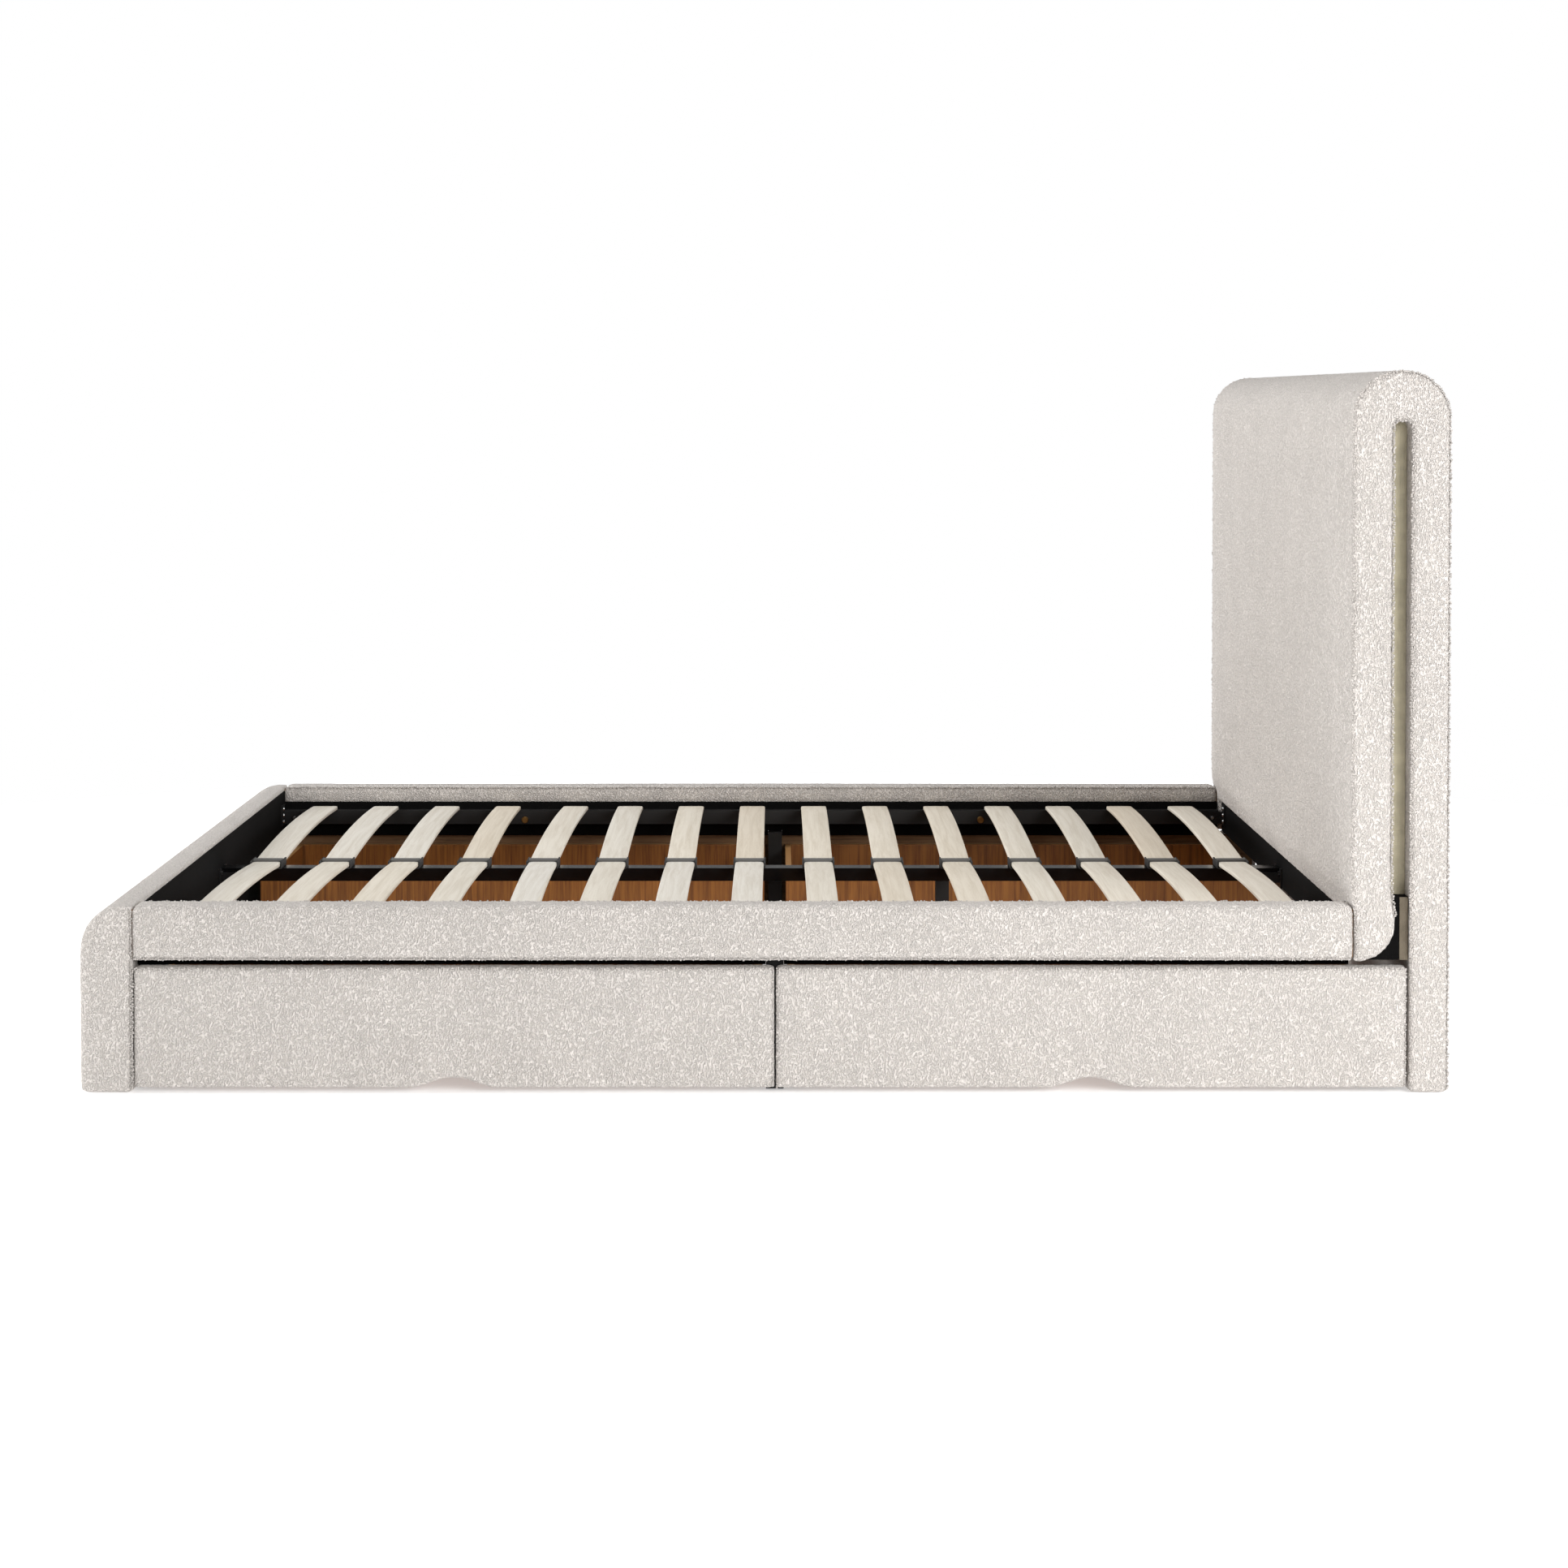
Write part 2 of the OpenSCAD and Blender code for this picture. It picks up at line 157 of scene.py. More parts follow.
def block(low: Sequence[float], high: Sequence[float]) -> bmesh.types.BMesh:
    """Start a bmesh as a box between two corners.

    Args:
        low: Lowest corner.
        high: Highest corner.

    Returns:
        The bmesh.
    """
    bm = bmesh.new()
    bmesh.ops.create_cube(bm, size=1.0)
    low, high = Vector(low), Vector(high)
    bmesh.ops.scale(bm, vec=high - low, verts=bm.verts)
    bmesh.ops.translate(bm, vec=(low + high) / 2, verts=bm.verts)
    return bm


class Along(Enum):
    """The axis that an outline is extruded along."""

    X = 0
    Y = 1


def extruded(outline: Sequence[Point], along: Along, start: float, end: float,
             rounds: dict[float, Sequence[int]] | None = None) -> bmesh.types.BMesh:
    """Extrude a closed outline into a solid.

    Args:
        outline: Corners as (y, z) for X, or (x, z) for Y.
        along: The axis of the extrusion.
        start: Where it starts on that axis.
        end: Where it ends.
        rounds: Radii, each with the numbers of the corners that it rounds.

    Returns:
        The solid as a bmesh.
    """
    bm = bmesh.new()
    place = (lambda a, b: (start, a, b)) if along is Along.X else (lambda a, b: (a, start, b))
    corners = [bm.verts.new(place(a, b)) for a, b in outline]
    bm.faces.new(corners)
    for radius, numbers in (rounds or {}).items():
        bmesh.ops.bevel(bm, geom=[corners[i] for i in numbers], offset=radius,
                        offset_type="OFFSET", segments=12, affect="VERTICES", profile=0.5,
                        material=-1)
    grown = bmesh.ops.extrude_face_region(bm, geom=bm.faces[:])
    step = Vector((0, 0, 0))
    step[along.value] = end - start
    bmesh.ops.translate(bm, vec=step, verts=[v for v in grown["geom"]
                                             if isinstance(v, bmesh.types.BMVert)])
    bmesh.ops.recalc_face_normals(bm, faces=bm.faces)
    return bm


def soften(bm: bmesh.types.BMesh, edges: Sequence[bmesh.types.BMEdge], radius: float,
           segments: int = 2, clamp: bool = False) -> None:
    """Round some edges.

    Args:
        bm: The bmesh.
        edges: Its edges to round.
        radius: Radius of the rounding.
        segments: Faces across the rounding.
        clamp: Whether the radius shrinks where the edges are short.
    """
    bmesh.ops.bevel(bm, geom=edges, offset=radius, offset_type="OFFSET", segments=segments,
                    affect="EDGES", profile=0.5, material=-1, clamp_overlap=clamp)


def round_edges(bm: bmesh.types.BMesh, test: Test, radius: float, segments: int = 4) -> None:
    """Round the edges whose two ends both pass a test.

    Args:
        bm: The bmesh.
        test: Says whether a vertex belongs to the edges.
        radius: Radius of the rounding.
        segments: Faces across the rounding.
    """
    soften(bm, [e for e in bm.edges if all(test(v.co) for v in e.verts)], radius, segments, True)


def made(name: str, bm: bmesh.types.BMesh, smooth: bool = True) -> bpy.types.Object:
    """Turn a bmesh into a scene object at the origin.

    Args:
        name: The piece's name.
        bm: The bmesh, which is freed.
        smooth: Whether faces are shaded smooth.

    Returns:
        The object.
    """
    mesh = bpy.data.meshes.new(name)
    bm.to_mesh(mesh)
    bm.free()
    mesh.polygons.foreach_set("use_smooth", [smooth] * len(mesh.polygons))
    obj = bpy.data.objects.new(name, mesh)
    bpy.context.scene.collection.objects.link(obj)
    return obj


def apply_modifiers(obj: bpy.types.Object) -> None:
    """Make an object's modifiers part of its mesh.

    Args:
        obj: The object.
    """
    graph = bpy.context.evaluated_depsgraph_get()
    mesh = bpy.data.meshes.new_from_object(obj.evaluated_get(graph))
    old = obj.data
    obj.modifiers.clear()
    obj.data = mesh
    bpy.data.meshes.remove(old)


def coords(mesh: bpy.types.Mesh) -> np.ndarray:
    """Read a mesh's vertex places as an array of rows."""
    flat = np.empty(len(mesh.vertices) * 3, np.float32)
    mesh.vertices.foreach_get("co", flat)
    return flat.reshape(-1, 3).astype(float)


def normals(mesh: bpy.types.Mesh) -> np.ndarray:
    """Read a mesh's vertex normals as an array of rows."""
    flat = np.empty(len(mesh.vertices) * 3, np.float32)
    mesh.vertex_normals.foreach_get("vector", flat)
    return flat.reshape(-1, 3).astype(float)


def bmesh_of(obj: bpy.types.Object) -> bmesh.types.BMesh:
    """Copy an object's mesh into a new bmesh."""
    bm = bmesh.new()
    bm.from_mesh(obj.data)
    return bm


def pour(part: bmesh.types.BMesh, whole: bmesh.types.BMesh) -> None:
    """Add one bmesh to another, and free it."""
    mesh = bpy.data.meshes.new("part")
    part.to_mesh(mesh)
    part.free()
    whole.from_mesh(mesh)
    bpy.data.meshes.remove(mesh)


def spread(piece: bmesh.types.BMesh, places: Sequence[float],
           turns: dict[int, float] | None = None) -> bmesh.types.BMesh:
    """Lay copies of a bmesh along the bed, and free it.

    Args:
        piece: The bmesh, centred on y = 0.
        places: Where each copy goes along the bed.
        turns: Angles by the numbers of the copies that sit askew.

    Returns:
        All the copies in one bmesh.
    """
    pattern = bpy.data.meshes.new("pattern")
    piece.to_mesh(pattern)
    piece.free()
    whole = bmesh.new()
    for i, y in enumerate(places):
        before = len(whole.verts)
        whole.from_mesh(pattern)
        whole.verts.ensure_lookup_table()
        fresh = whole.verts[before:]
        if turns and i in turns:
            bmesh.ops.rotate(whole, cent=(0, 0, 0), verts=fresh,
                             matrix=Matrix.Rotation(turns[i], 3, "Z"))
        bmesh.ops.translate(whole, vec=(0, y, 0), verts=fresh)
    bpy.data.meshes.remove(pattern)
    return whole


def mirrored(obj: bpy.types.Object, name: str) -> bpy.types.Object:
    """Copy a piece to the other side of the bed.

    Args:
        obj: The right-hand piece.
        name: Name of the copy.

    Returns:
        The left-hand piece.
    """
    bm = bmesh_of(obj)
    bmesh.ops.scale(bm, vec=(-1, 1, 1), verts=bm.verts)
    bmesh.ops.reverse_faces(bm, faces=bm.faces)
    return made(name, bm)


def leaned(y: Any, z: Any) -> Any:
    """Move headboard points forward where its front leg stands proud above the rails.

    Args:
        y: Where the points lie along the bed, as a number or an array.
        z: Their heights.

    Returns:
        Their new places along the bed.
    """
    slot_low, slot_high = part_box("headboard_slot_panel")
    rise = np.clip((z - 300 * MM) / (45 * MM), 0, 1)
    share = np.clip((slot_high[1] - y) / (slot_high[1] - slot_low[1]), 0, 1)
    return y - LEAN * share * rise * rise * (3 - 2 * rise)


def dress(obj: bpy.types.Object, material: bpy.types.Material, body: str, slot: str,
          *nodes: str) -> bpy.types.Object:
    """Give a new piece its material and body, and hide the CAD nodes it stands for.

    Args:
        obj: The piece.
        material: Its finish.
        body: The body it rides on.
        slot: Not used.
        nodes: CAD nodes that it replaces.

    Returns:
        The same piece.
    """
    obj.data.materials.clear()
    obj.data.materials.append(material)
    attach(obj, body)
    if nodes:
        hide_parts(*nodes)
    LOG.info("%s: %d faces on %s", obj.name, len(obj.data.polygons), body)
    return obj


def dress_pair(right: bpy.types.Object, material: bpy.types.Material, name: str, body: str,
               node: str) -> None:
    """Mirror a padded piece for the left side, and dress both.

    Args:
        right: The right-hand piece.
        material: Its finish.
        name: The left-hand piece's name.
        body: The body, with {} for the side.
        node: The CAD node it stands for, with {} for the side.
    """
    for obj, side in ((right, "right"), (mirrored(right, name), "left")):
        dress(obj, material, body.format(side), "boucle_upholstery", node.format(side))


# ---- finishes -------------------------------------------------------------------------------

@dataclass(frozen=True)
class Finish:
    """A material's name, gloss and colours; subclasses add its pattern."""

    name: str
    colour: str
    rough: float = 0.5
    ior: float = 1.5
    metallic: float = 0.0

    def shader(self) -> tuple[bpy.types.Material, bpy.types.NodeTree, bpy.types.Node,
                              bpy.types.NodeSocket]:
        """Start the material.

        Returns:
            The material, its tree, its Principled node and its Object coordinates.
        """
        material = bpy.data.materials.new(self.name)
        material.use_nodes = True
        tree = material.node_tree
        base = tree.nodes["Principled BSDF"]
        base.inputs["Base Color"].default_value = linear(self.colour)
        base.inputs["Roughness"].default_value = self.rough
        base.inputs["IOR"].default_value = self.ior
        base.inputs["Metallic"].default_value = self.metallic
        place = add_node(tree, "TexCoord").outputs["Object"]
        return material, tree, base, place

    def build(self) -> bpy.types.Material:
        """Make the material."""
        raise NotImplementedError


@dataclass(frozen=True)
class Boucle(Finish):
    """Woven boucle: soft matt curls of looped yarn with small shadows between them."""

    # Painted shade: the hollows between the curls take this darker colour.
    shade: str = "CDC6BF"
    curl: float = 3.0 * MM
    depth: float = 2.6 * MM
    fibre: float = 0.9 * MM
    tall: float = 0.62
    turns: float = 2.0

    def build(self) -> bpy.types.Material:
        """Make the cloth from winding ridges for the curls, and fine noise for the yarn."""
        material, tree, base, plain = self.shader()
        place = add_node(tree, "VectorMath", {"operation": "MULTIPLY"}, i0=plain,
                         i1=(1.0, 1.0, self.tall)).outputs["Vector"]
        soft = add_node(tree, "TexNoise", Vector=place, Scale=1 / self.curl, Detail=0.0,
                        Distortion=0.5).outputs["Fac"]
        angle = add_node(tree, "Math", {"operation": "MULTIPLY"}, i0=soft,
                         i1=math.tau * self.turns).outputs["Value"]
        wave = add_node(tree, "Math", {"operation": "SINE"}, i0=angle).outputs["Value"]
        curls = add_node(tree, "MapRange", Value=wave, From_Min=-1.0, From_Max=1.0, To_Min=0.0,
                         To_Max=1.0).outputs["Result"]
        yarn = add_node(tree, "TexNoise", Vector=place, Scale=1 / self.fibre,
                        Detail=2.0).outputs["Fac"]
        broad = add_node(tree, "TexNoise", Vector=place, Scale=9.0, Detail=2.0).outputs["Fac"]
        height = add_node(tree, "Math", {"operation": "MULTIPLY_ADD"}, i0=yarn, i1=0.5,
                          i2=curls).outputs["Value"]
        # Painted shade: the hollows of the curls shade into the darker colour.
        tone = ramp(tree, curls, [(0.0, self.shade), (0.5, self.colour), (1.0, self.colour)])
        fade = add_node(tree, "MapRange", Value=broad, From_Min=0.3, From_Max=0.7, To_Min=0.965,
                        To_Max=1.02).outputs["Result"]
        mixed = add_node(tree, "VectorMath", {"operation": "SCALE"}, i0=tone, Scale=fade)
        tree.links.new(mixed.outputs["Vector"], base.inputs["Base Color"])
        bump = add_node(tree, "Bump", Height=height, Distance=self.depth, Strength=1.0)
        tree.links.new(bump.outputs["Normal"], base.inputs["Normal"])
        base.inputs["Sheen Weight"].default_value = 0.25
        base.inputs["Sheen Roughness"].default_value = 0.6
        base.inputs["Specular IOR Level"].default_value = 0.15
        return material


@dataclass(frozen=True)
class Lining(Finish):
    """Plain woven or spunbonded lining cloth: flat and matt with a fine crossed weave."""

    thread: float = 1.2 * MM
    relief: float = 0.25 * MM

    def build(self) -> bpy.types.Material:
        """Make the cloth from two crossed bands with slight mottling."""
        material, tree, base, place = self.shader()
        axes = add_node(tree, "SeparateXYZ", Vector=place)
        rate = math.tau / (2 * self.thread)
        waves = []
        for axis in "XYZ":
            turn = add_node(tree, "Math", {"operation": "MULTIPLY"}, i0=axes.outputs[axis], i1=rate)
            waves.append(add_node(tree, "Math", {"operation": "SINE"},
                                  i0=turn.outputs["Value"]).outputs["Value"])
        cross = add_node(tree, "Math", {"operation": "ADD"}, i0=waves[0], i1=waves[1])
        cross = add_node(tree, "Math", {"operation": "ADD"}, i0=cross.outputs["Value"], i1=waves[2])
        bump = add_node(tree, "Bump", Height=cross.outputs["Value"], Distance=self.relief,
                        Strength=0.5)
        tree.links.new(bump.outputs["Normal"], base.inputs["Normal"])
        cloud = add_node(tree, "TexNoise", Vector=place, Scale=35.0, Detail=3.0).outputs["Fac"]
        fade = add_node(tree, "MapRange", Value=cloud, From_Min=0.3, From_Max=0.7, To_Min=0.85,
                        To_Max=1.1).outputs["Result"]
        flat = add_node(tree, "RGB")
        flat.outputs[0].default_value = linear(self.colour)
        mixed = add_node(tree, "VectorMath", {"operation": "SCALE"}, i0=flat.outputs[0], Scale=fade)
        tree.links.new(mixed.outputs["Vector"], base.inputs["Base Color"])
        base.inputs["Specular IOR Level"].default_value = 0.1
        return material


@dataclass(frozen=True)
class Coating(Finish):
    """A painted, plated or moulded skin: even colour with fine orange peel and handling marks."""

    grit: float = 0.8 * MM
    relief: float = 0.03 * MM
    wear: str = "8A8A88"
    worn: float = 0.0

    def build(self) -> bpy.types.Material:
        """Make the skin from fine noise in its height and roughness, and worn patches."""
        material, tree, base, place = self.shader()
        peel = add_node(tree, "TexNoise", Vector=place, Scale=1 / self.grit,
                        Detail=2.0).outputs["Fac"]
        smear = add_node(tree, "TexNoise", Vector=place, Scale=28.0, Detail=4.0).outputs["Fac"]
        gloss = add_node(tree, "MapRange", Value=smear, From_Min=0.3, From_Max=0.7,
                         To_Min=max(self.rough - 0.07, 0.02), To_Max=self.rough + 0.09)
        tree.links.new(gloss.outputs["Result"], base.inputs["Roughness"])
        bump = add_node(tree, "Bump", Height=peel, Distance=self.relief, Strength=0.6)
        tree.links.new(bump.outputs["Normal"], base.inputs["Normal"])
        tone = ramp(tree, smear, [(0.0, self.colour), (0.95 - 0.3 * self.worn, self.colour),
                                  (1.0, self.wear)])
        tree.links.new(tone, base.inputs["Base Color"])
        return material


class Grain(Enum):
    """The way that a board's wood grain runs."""

    ALONG_X = 0
    ALONG_Y = 1
    ALONG_Z = 2


@dataclass(frozen=True)
class Wood(Finish):
    """Sliced veneer or printed wood grain: long streaks, pores and a change from board to board."""

    dark: str = "A88B63"
    grain: Grain = Grain.ALONG_X
    streak: float = 5.0 * MM
    pitch: float = 0.0
    pores: float = 0.04 * MM
    # Above this height the boards turn pale: partly the raw top edge, partly a painted highlight.
    edge_above: float = 0.0
    edge: str = "B98A55"

    def build(self) -> bpy.types.Material:
        """Make the wood from noise stretched 30 to 1 along the grain."""
        material, tree, base, place = self.shader()
        stretch = [1.0, 1.0, 1.0]
        stretch[self.grain.value] = 1 / 30
        long = add_node(tree, "VectorMath", {"operation": "MULTIPLY"}, i0=place,
                        i1=tuple(stretch)).outputs["Vector"]
        streaks = add_node(tree, "TexNoise", Vector=long, Scale=1 / self.streak, Detail=4.0,
                           Roughness=0.6, Distortion=0.6).outputs["Fac"]
        fine = add_node(tree, "TexNoise", Vector=long, Scale=8 / self.streak,
                        Detail=2.0).outputs["Fac"]
        mix = add_node(tree, "Math", {"operation": "MULTIPLY_ADD"}, i0=fine, i1=0.35, i2=streaks)
        tone = ramp(tree, mix.outputs["Value"], [(0.45, self.dark), (0.8, self.colour),
                                                 (1.0, self.colour)])
        if self.pitch:
            tone = self._each_slat(tree, place, tone)
        if self.edge_above:
            tone = self._raw_edge(tree, place, tone)
        tree.links.new(tone, base.inputs["Base Color"])
        bump = add_node(tree, "Bump", Height=mix.outputs["Value"], Distance=self.pores,
                        Strength=0.5)
        tree.links.new(bump.outputs["Normal"], base.inputs["Normal"])
        return material

    def _each_slat(self, tree: bpy.types.NodeTree, place: bpy.types.NodeSocket,
                   tone: bpy.types.NodeSocket) -> bpy.types.NodeSocket:
        """Give each slat its own tone, as slats come from different sheets.

        Args:
            tree: The node tree.
            place: Object coordinates.
            tone: The wood's colour.

        Returns:
            The changed colour.
        """
        number = add_node(tree, "VectorMath", {"operation": "SNAP"}, i0=place,
                          i1=(1.0, self.pitch, 1.0)).outputs["Vector"]
        chance = add_node(tree, "TexWhiteNoise", Vector=number)
        warm = ramp(tree, chance.outputs["Value"], [(0.0, "F6EEE2"), (0.35, "FFFAF1"),
                                                    (0.7, "FBF8F2"), (1.0, "FFFFFF")])
        mixed = add_node(tree, "Mix", {"data_type": "RGBA", "blend_type": "MULTIPLY"})
        mixed.inputs["Factor"].default_value = 1.0
        tree.links.new(tone, mixed.inputs[6])
        tree.links.new(warm, mixed.inputs[7])
        return mixed.outputs[2]

    def _raw_edge(self, tree: bpy.types.NodeTree, place: bpy.types.NodeSocket,
                  tone: bpy.types.NodeSocket) -> bpy.types.NodeSocket:
        """Paint the boards pale above a height: partly their raw top edge, partly a painted
        highlight along their lit top.

        Args:
            tree: The node tree.
            place: Object coordinates.
            tone: The face's colour.

        Returns:
            The changed colour.
        """
        # Painted highlight and raw edge: the pale colour covers everything above the height.
        tall = add_node(tree, "SeparateXYZ", Vector=place).outputs["Z"]
        top = add_node(tree, "Math", {"operation": "GREATER_THAN"}, i0=tall, i1=self.edge_above)
        mixed = add_node(tree, "Mix", {"data_type": "RGBA"}, Factor=top.outputs["Value"])
        tree.links.new(tone, mixed.inputs[6])
        mixed.inputs[7].default_value = linear(self.edge)
        return mixed.outputs[2]


@dataclass
class Finishes:
    """All the bed's materials, made once and shared."""

    # Looped wool and acrylic yarn, woven: cream, very matt, with nubs of 3 to 5 mm.
    boucle: Finish = Boucle("woven_boucle_cream", "EBE4DE", rough=0.95)
    # Spunbonded polypropylene stretched on board: flat, dead black.
    black_cloth: Finish = Lining("spunbonded_lining_black", "0B0A0A", rough=0.9)
    # Plain-woven polyester stretched on board: flat olive beige.
    beige_cloth: Finish = Lining("plain_woven_lining_beige", "C9C1A8", rough=0.85)
    # The same beige cloth where it runs on below the groove, painted darker as painted shade.
    taupe_cloth: Finish = Lining("plain_woven_lining_beige_shaded", "6E6557", rough=0.85)
    # Softwood batten under satin black emulsion.
    painted_batten: Finish = Coating("painted_softwood_black", "0E0D0D", rough=0.5)
    # Folded steel under powder coat: satin, faint orange peel.
    coated_steel: Finish = Coating("powder_coated_steel_black", "121213", rough=0.42)
    # Rectangular tube under baked enamel: black and glossy, so it mirrors the room at low angles.
    enamel_tube: Finish = Coating("baked_enamel_steel_black", "0C0C0D", rough=0.16)
    # Zinc plating is a bright bluish metal.
    zinc: Finish = Coating("zinc_plated_steel", "C9CBCC", rough=0.28, metallic=1.0, worn=0.3)
    # Yellow passivated zinc on the bolt heads: a dull brassy metal.
    brass: Finish = Coating("yellow_passivated_steel", "B08A52", rough=0.35, metallic=1.0, worn=0.4)
    # Moulded rubber, matt dark grey.
    rubber: Finish = Coating("moulded_rubber_grey", "5E5D5B", rough=0.75, relief=0.06 * MM)
    # The same grey rubber in the trays, painted darker as painted shade under and between the slats.
    dark_rubber: Finish = Coating("moulded_rubber_grey_shaded", "262524", rough=0.7, relief=0.06 * MM)
    # Hard wheel rubber, black and a little shiny.
    wheel: Finish = Coating("moulded_wheel_rubber_black", "232323", rough=0.55)
    # Rotary-cut birch, laminated, bent and sealed: pale cream with long fine streaks.
    birch: Finish = Wood("laminated_birch_sealed", "ECE8E0", rough=0.42, dark="D8D1C5",
                         streak=9 * MM, pitch=SLAT_PITCH)
    # Sawn board inside the padding: pale brown.
    board: Finish = Wood("sawn_plywood_raw", "8A6A4A", rough=0.8, dark="6B4F35",
                         grain=Grain.ALONG_Y)
    # Melamine-faced particle board with a walnut print: brown, upright grain, and a pale band along
    # the top that is partly the raw top edge and partly a painted highlight.
    walnut: Finish = Wood("melamine_board_walnut_grain", "A2672B", rough=0.45, dark="6E3F16",
                          grain=Grain.ALONG_Z, streak=7 * MM, edge_above=187.4 * MM)
    # Thin hardboard with a printed face.
    hardboard: Finish = Wood("hardboard_printed_brown", "8E6238", rough=0.6, dark="6C4522",
                             grain=Grain.ALONG_Y)
    made: dict[str, bpy.types.Material] = field(default_factory=dict)

    def get(self, name: str) -> bpy.types.Material:
        """Return a material by its field's name, made on first use."""
        if name not in self.made:
            self.made[name] = getattr(self, name).build()
        return self.made[name]


# ---- padding --------------------------------------------------------------------------------

@dataclass
class Padding:
    """How a padded piece is blown up, meshed and given its nubs.

    The cloth is simulated on a coarse copy, and the fine mesh follows how far that copy swelled.
    """

    voxel: float = 5 * MM
    coarse: float = 12 * MM
    cap: float = 3 * MM
    pressure: float = 4.0
    refine: int = 1
    nub: float = 4.0 * MM
    rise: float = 1.3 * MM
    frames: int = 12
    calm: int = 4

    def blow_up(self, obj: bpy.types.Object, held: Test,
                reach: Callable[[Vector], float] | None = None) -> None:
        """Let a piece's cloth swell under pressure, and raise the yarn's nubs.

        Args:
            obj: The piece, a little smaller than it should end.
            held: Says which points stay, because something stiff is behind or beside them.
            reach: The share of the cap that each point may use, or None for all of it.
        """
        swell = self._swell(obj, held)
        self._remesh(obj, self.voxel)
        if swell is not None:
            self._follow(obj, swell, held, reach)
            if self.refine:
                finer = obj.modifiers.new("finer_mesh", "SUBSURF")
                finer.levels = self.refine
                finer.render_levels = self.refine
        texture = bpy.data.textures.new(obj.name + "_nubs", "VORONOI")
        texture.noise_scale = self.nub
        raised = obj.modifiers.new("nubs", "DISPLACE")
        raised.texture = texture
        raised.texture_coords = "LOCAL"
        raised.strength = -self.rise
        raised.mid_level = 0.5
        apply_modifiers(obj)

    @staticmethod
    def _remesh(obj: bpy.types.Object, size: float) -> None:
        """Give an object an even mesh of one voxel size."""
        remesh = obj.modifiers.new("even_mesh", "REMESH")
        remesh.mode = "VOXEL"
        remesh.voxel_size = size
        remesh.use_smooth_shade = True
        apply_modifiers(obj)

    def _swell(self, obj: bpy.types.Object, held: Test) -> tuple[KDTree, np.ndarray]:
        """Simulate the cloth on a coarse copy.

        Args:
            obj: The piece.
            held: Says which points stay.

        Returns:
            The copy's points as a search tree, and how far outward each one went.
        """
        copy = made(obj.name + "_coarse", bmesh_of(obj))
        self._remesh(copy, self.coarse)
        rest, ways = coords(copy.data), normals(copy.data)
        pins = copy.vertex_groups.new(name="held")
        pins.add([v.index for v in copy.data.vertices if held(v.co)], 1.0, "REPLACE")
        cloth = copy.modifiers.new("swell", "CLOTH")
        rules = cloth.settings
        rules.quality = 3
        rules.mass = 0.3
        rules.vertex_group_mass = pins.name
        rules.use_pressure = True
        rules.uniform_pressure_force = self.pressure
        rules.effector_weights.gravity = 0.0
        cloth.point_cache.frame_start = 1
        cloth.point_cache.frame_end = self.frames
        scene = bpy.context.scene
        for frame in range(1, self.frames + 1):
            scene.frame_set(frame)
        blown = copy.evaluated_get(bpy.context.evaluated_depsgraph_get())
        outward = ((coords(blown.data) - rest) * ways).sum(axis=1)
        scene.frame_set(1)
        outward = self._calmed(copy.data, np.maximum(outward, 0.0),
                               np.array([held(v.co) for v in copy.data.vertices]))
        bpy.data.objects.remove(copy)
        tree = KDTree(len(rest))
        for i, point in enumerate(rest):
            tree.insert(point, i)
        tree.balance()
        LOG.info("%s: cloth on %d points", obj.name, len(rest))
        return tree, outward

    def _calmed(self, mesh: bpy.types.Mesh, outward: np.ndarray, still: np.ndarray) -> np.ndarray:
        """Ease the swell from point to point, as wadding under the cloth does.

        Args:
            mesh: The coarse mesh.
            outward: How far each of its points went.
            still: Marks the points that stay.

        Returns:
            The eased distances.
        """
        count = len(outward)
        pairs = np.empty(len(mesh.edges) * 2, np.int32)
        mesh.edges.foreach_get("vertices", pairs)
        a, b = pairs.reshape(-1, 2).T
        many = np.maximum(np.bincount(a, minlength=count) + np.bincount(b, minlength=count), 1)
        for _ in range(self.calm):
            total = np.bincount(a, outward[b], count) + np.bincount(b, outward[a], count)
            outward = np.where(still, 0.0, (outward + total / many) / 2)
        return outward

    def _follow(self, obj: bpy.types.Object, swell: tuple[KDTree, np.ndarray], held: Test,
                reach: Callable[[Vector], float] | None) -> None:
        """Move the fine mesh outward as far as the simulated cloth near it went.

        Args:
            obj: The finely meshed piece.
            swell: What _swell returned.
            held: Says which points stay.
            reach: The share of the cap that each point may use, or None for all of it.
        """
        tree, outward = swell
        rest, ways = coords(obj.data), normals(obj.data)
        moves = np.zeros(len(rest))
        for i, place in enumerate(rest):
            point = Vector(place)
            if held(point):
                continue
            near = tree.find_n(point, 4)
            weights = np.array([1 / (gap + 1e-4) for _, _, gap in near])
            far = float((weights * outward[[n for _, n, _ in near]]).sum() / weights.sum())
            limit = self.cap * (reach(point) if reach else 1.0)
            # A soft limit, so the cloth has no crease where it reaches the cap.
            moves[i] = limit * math.tanh(far / limit) if limit > 0 else 0.0
        obj.data.vertices.foreach_set("co", (rest + ways * moves[:, None]).astype(
            np.float32).ravel())
        obj.data.update()


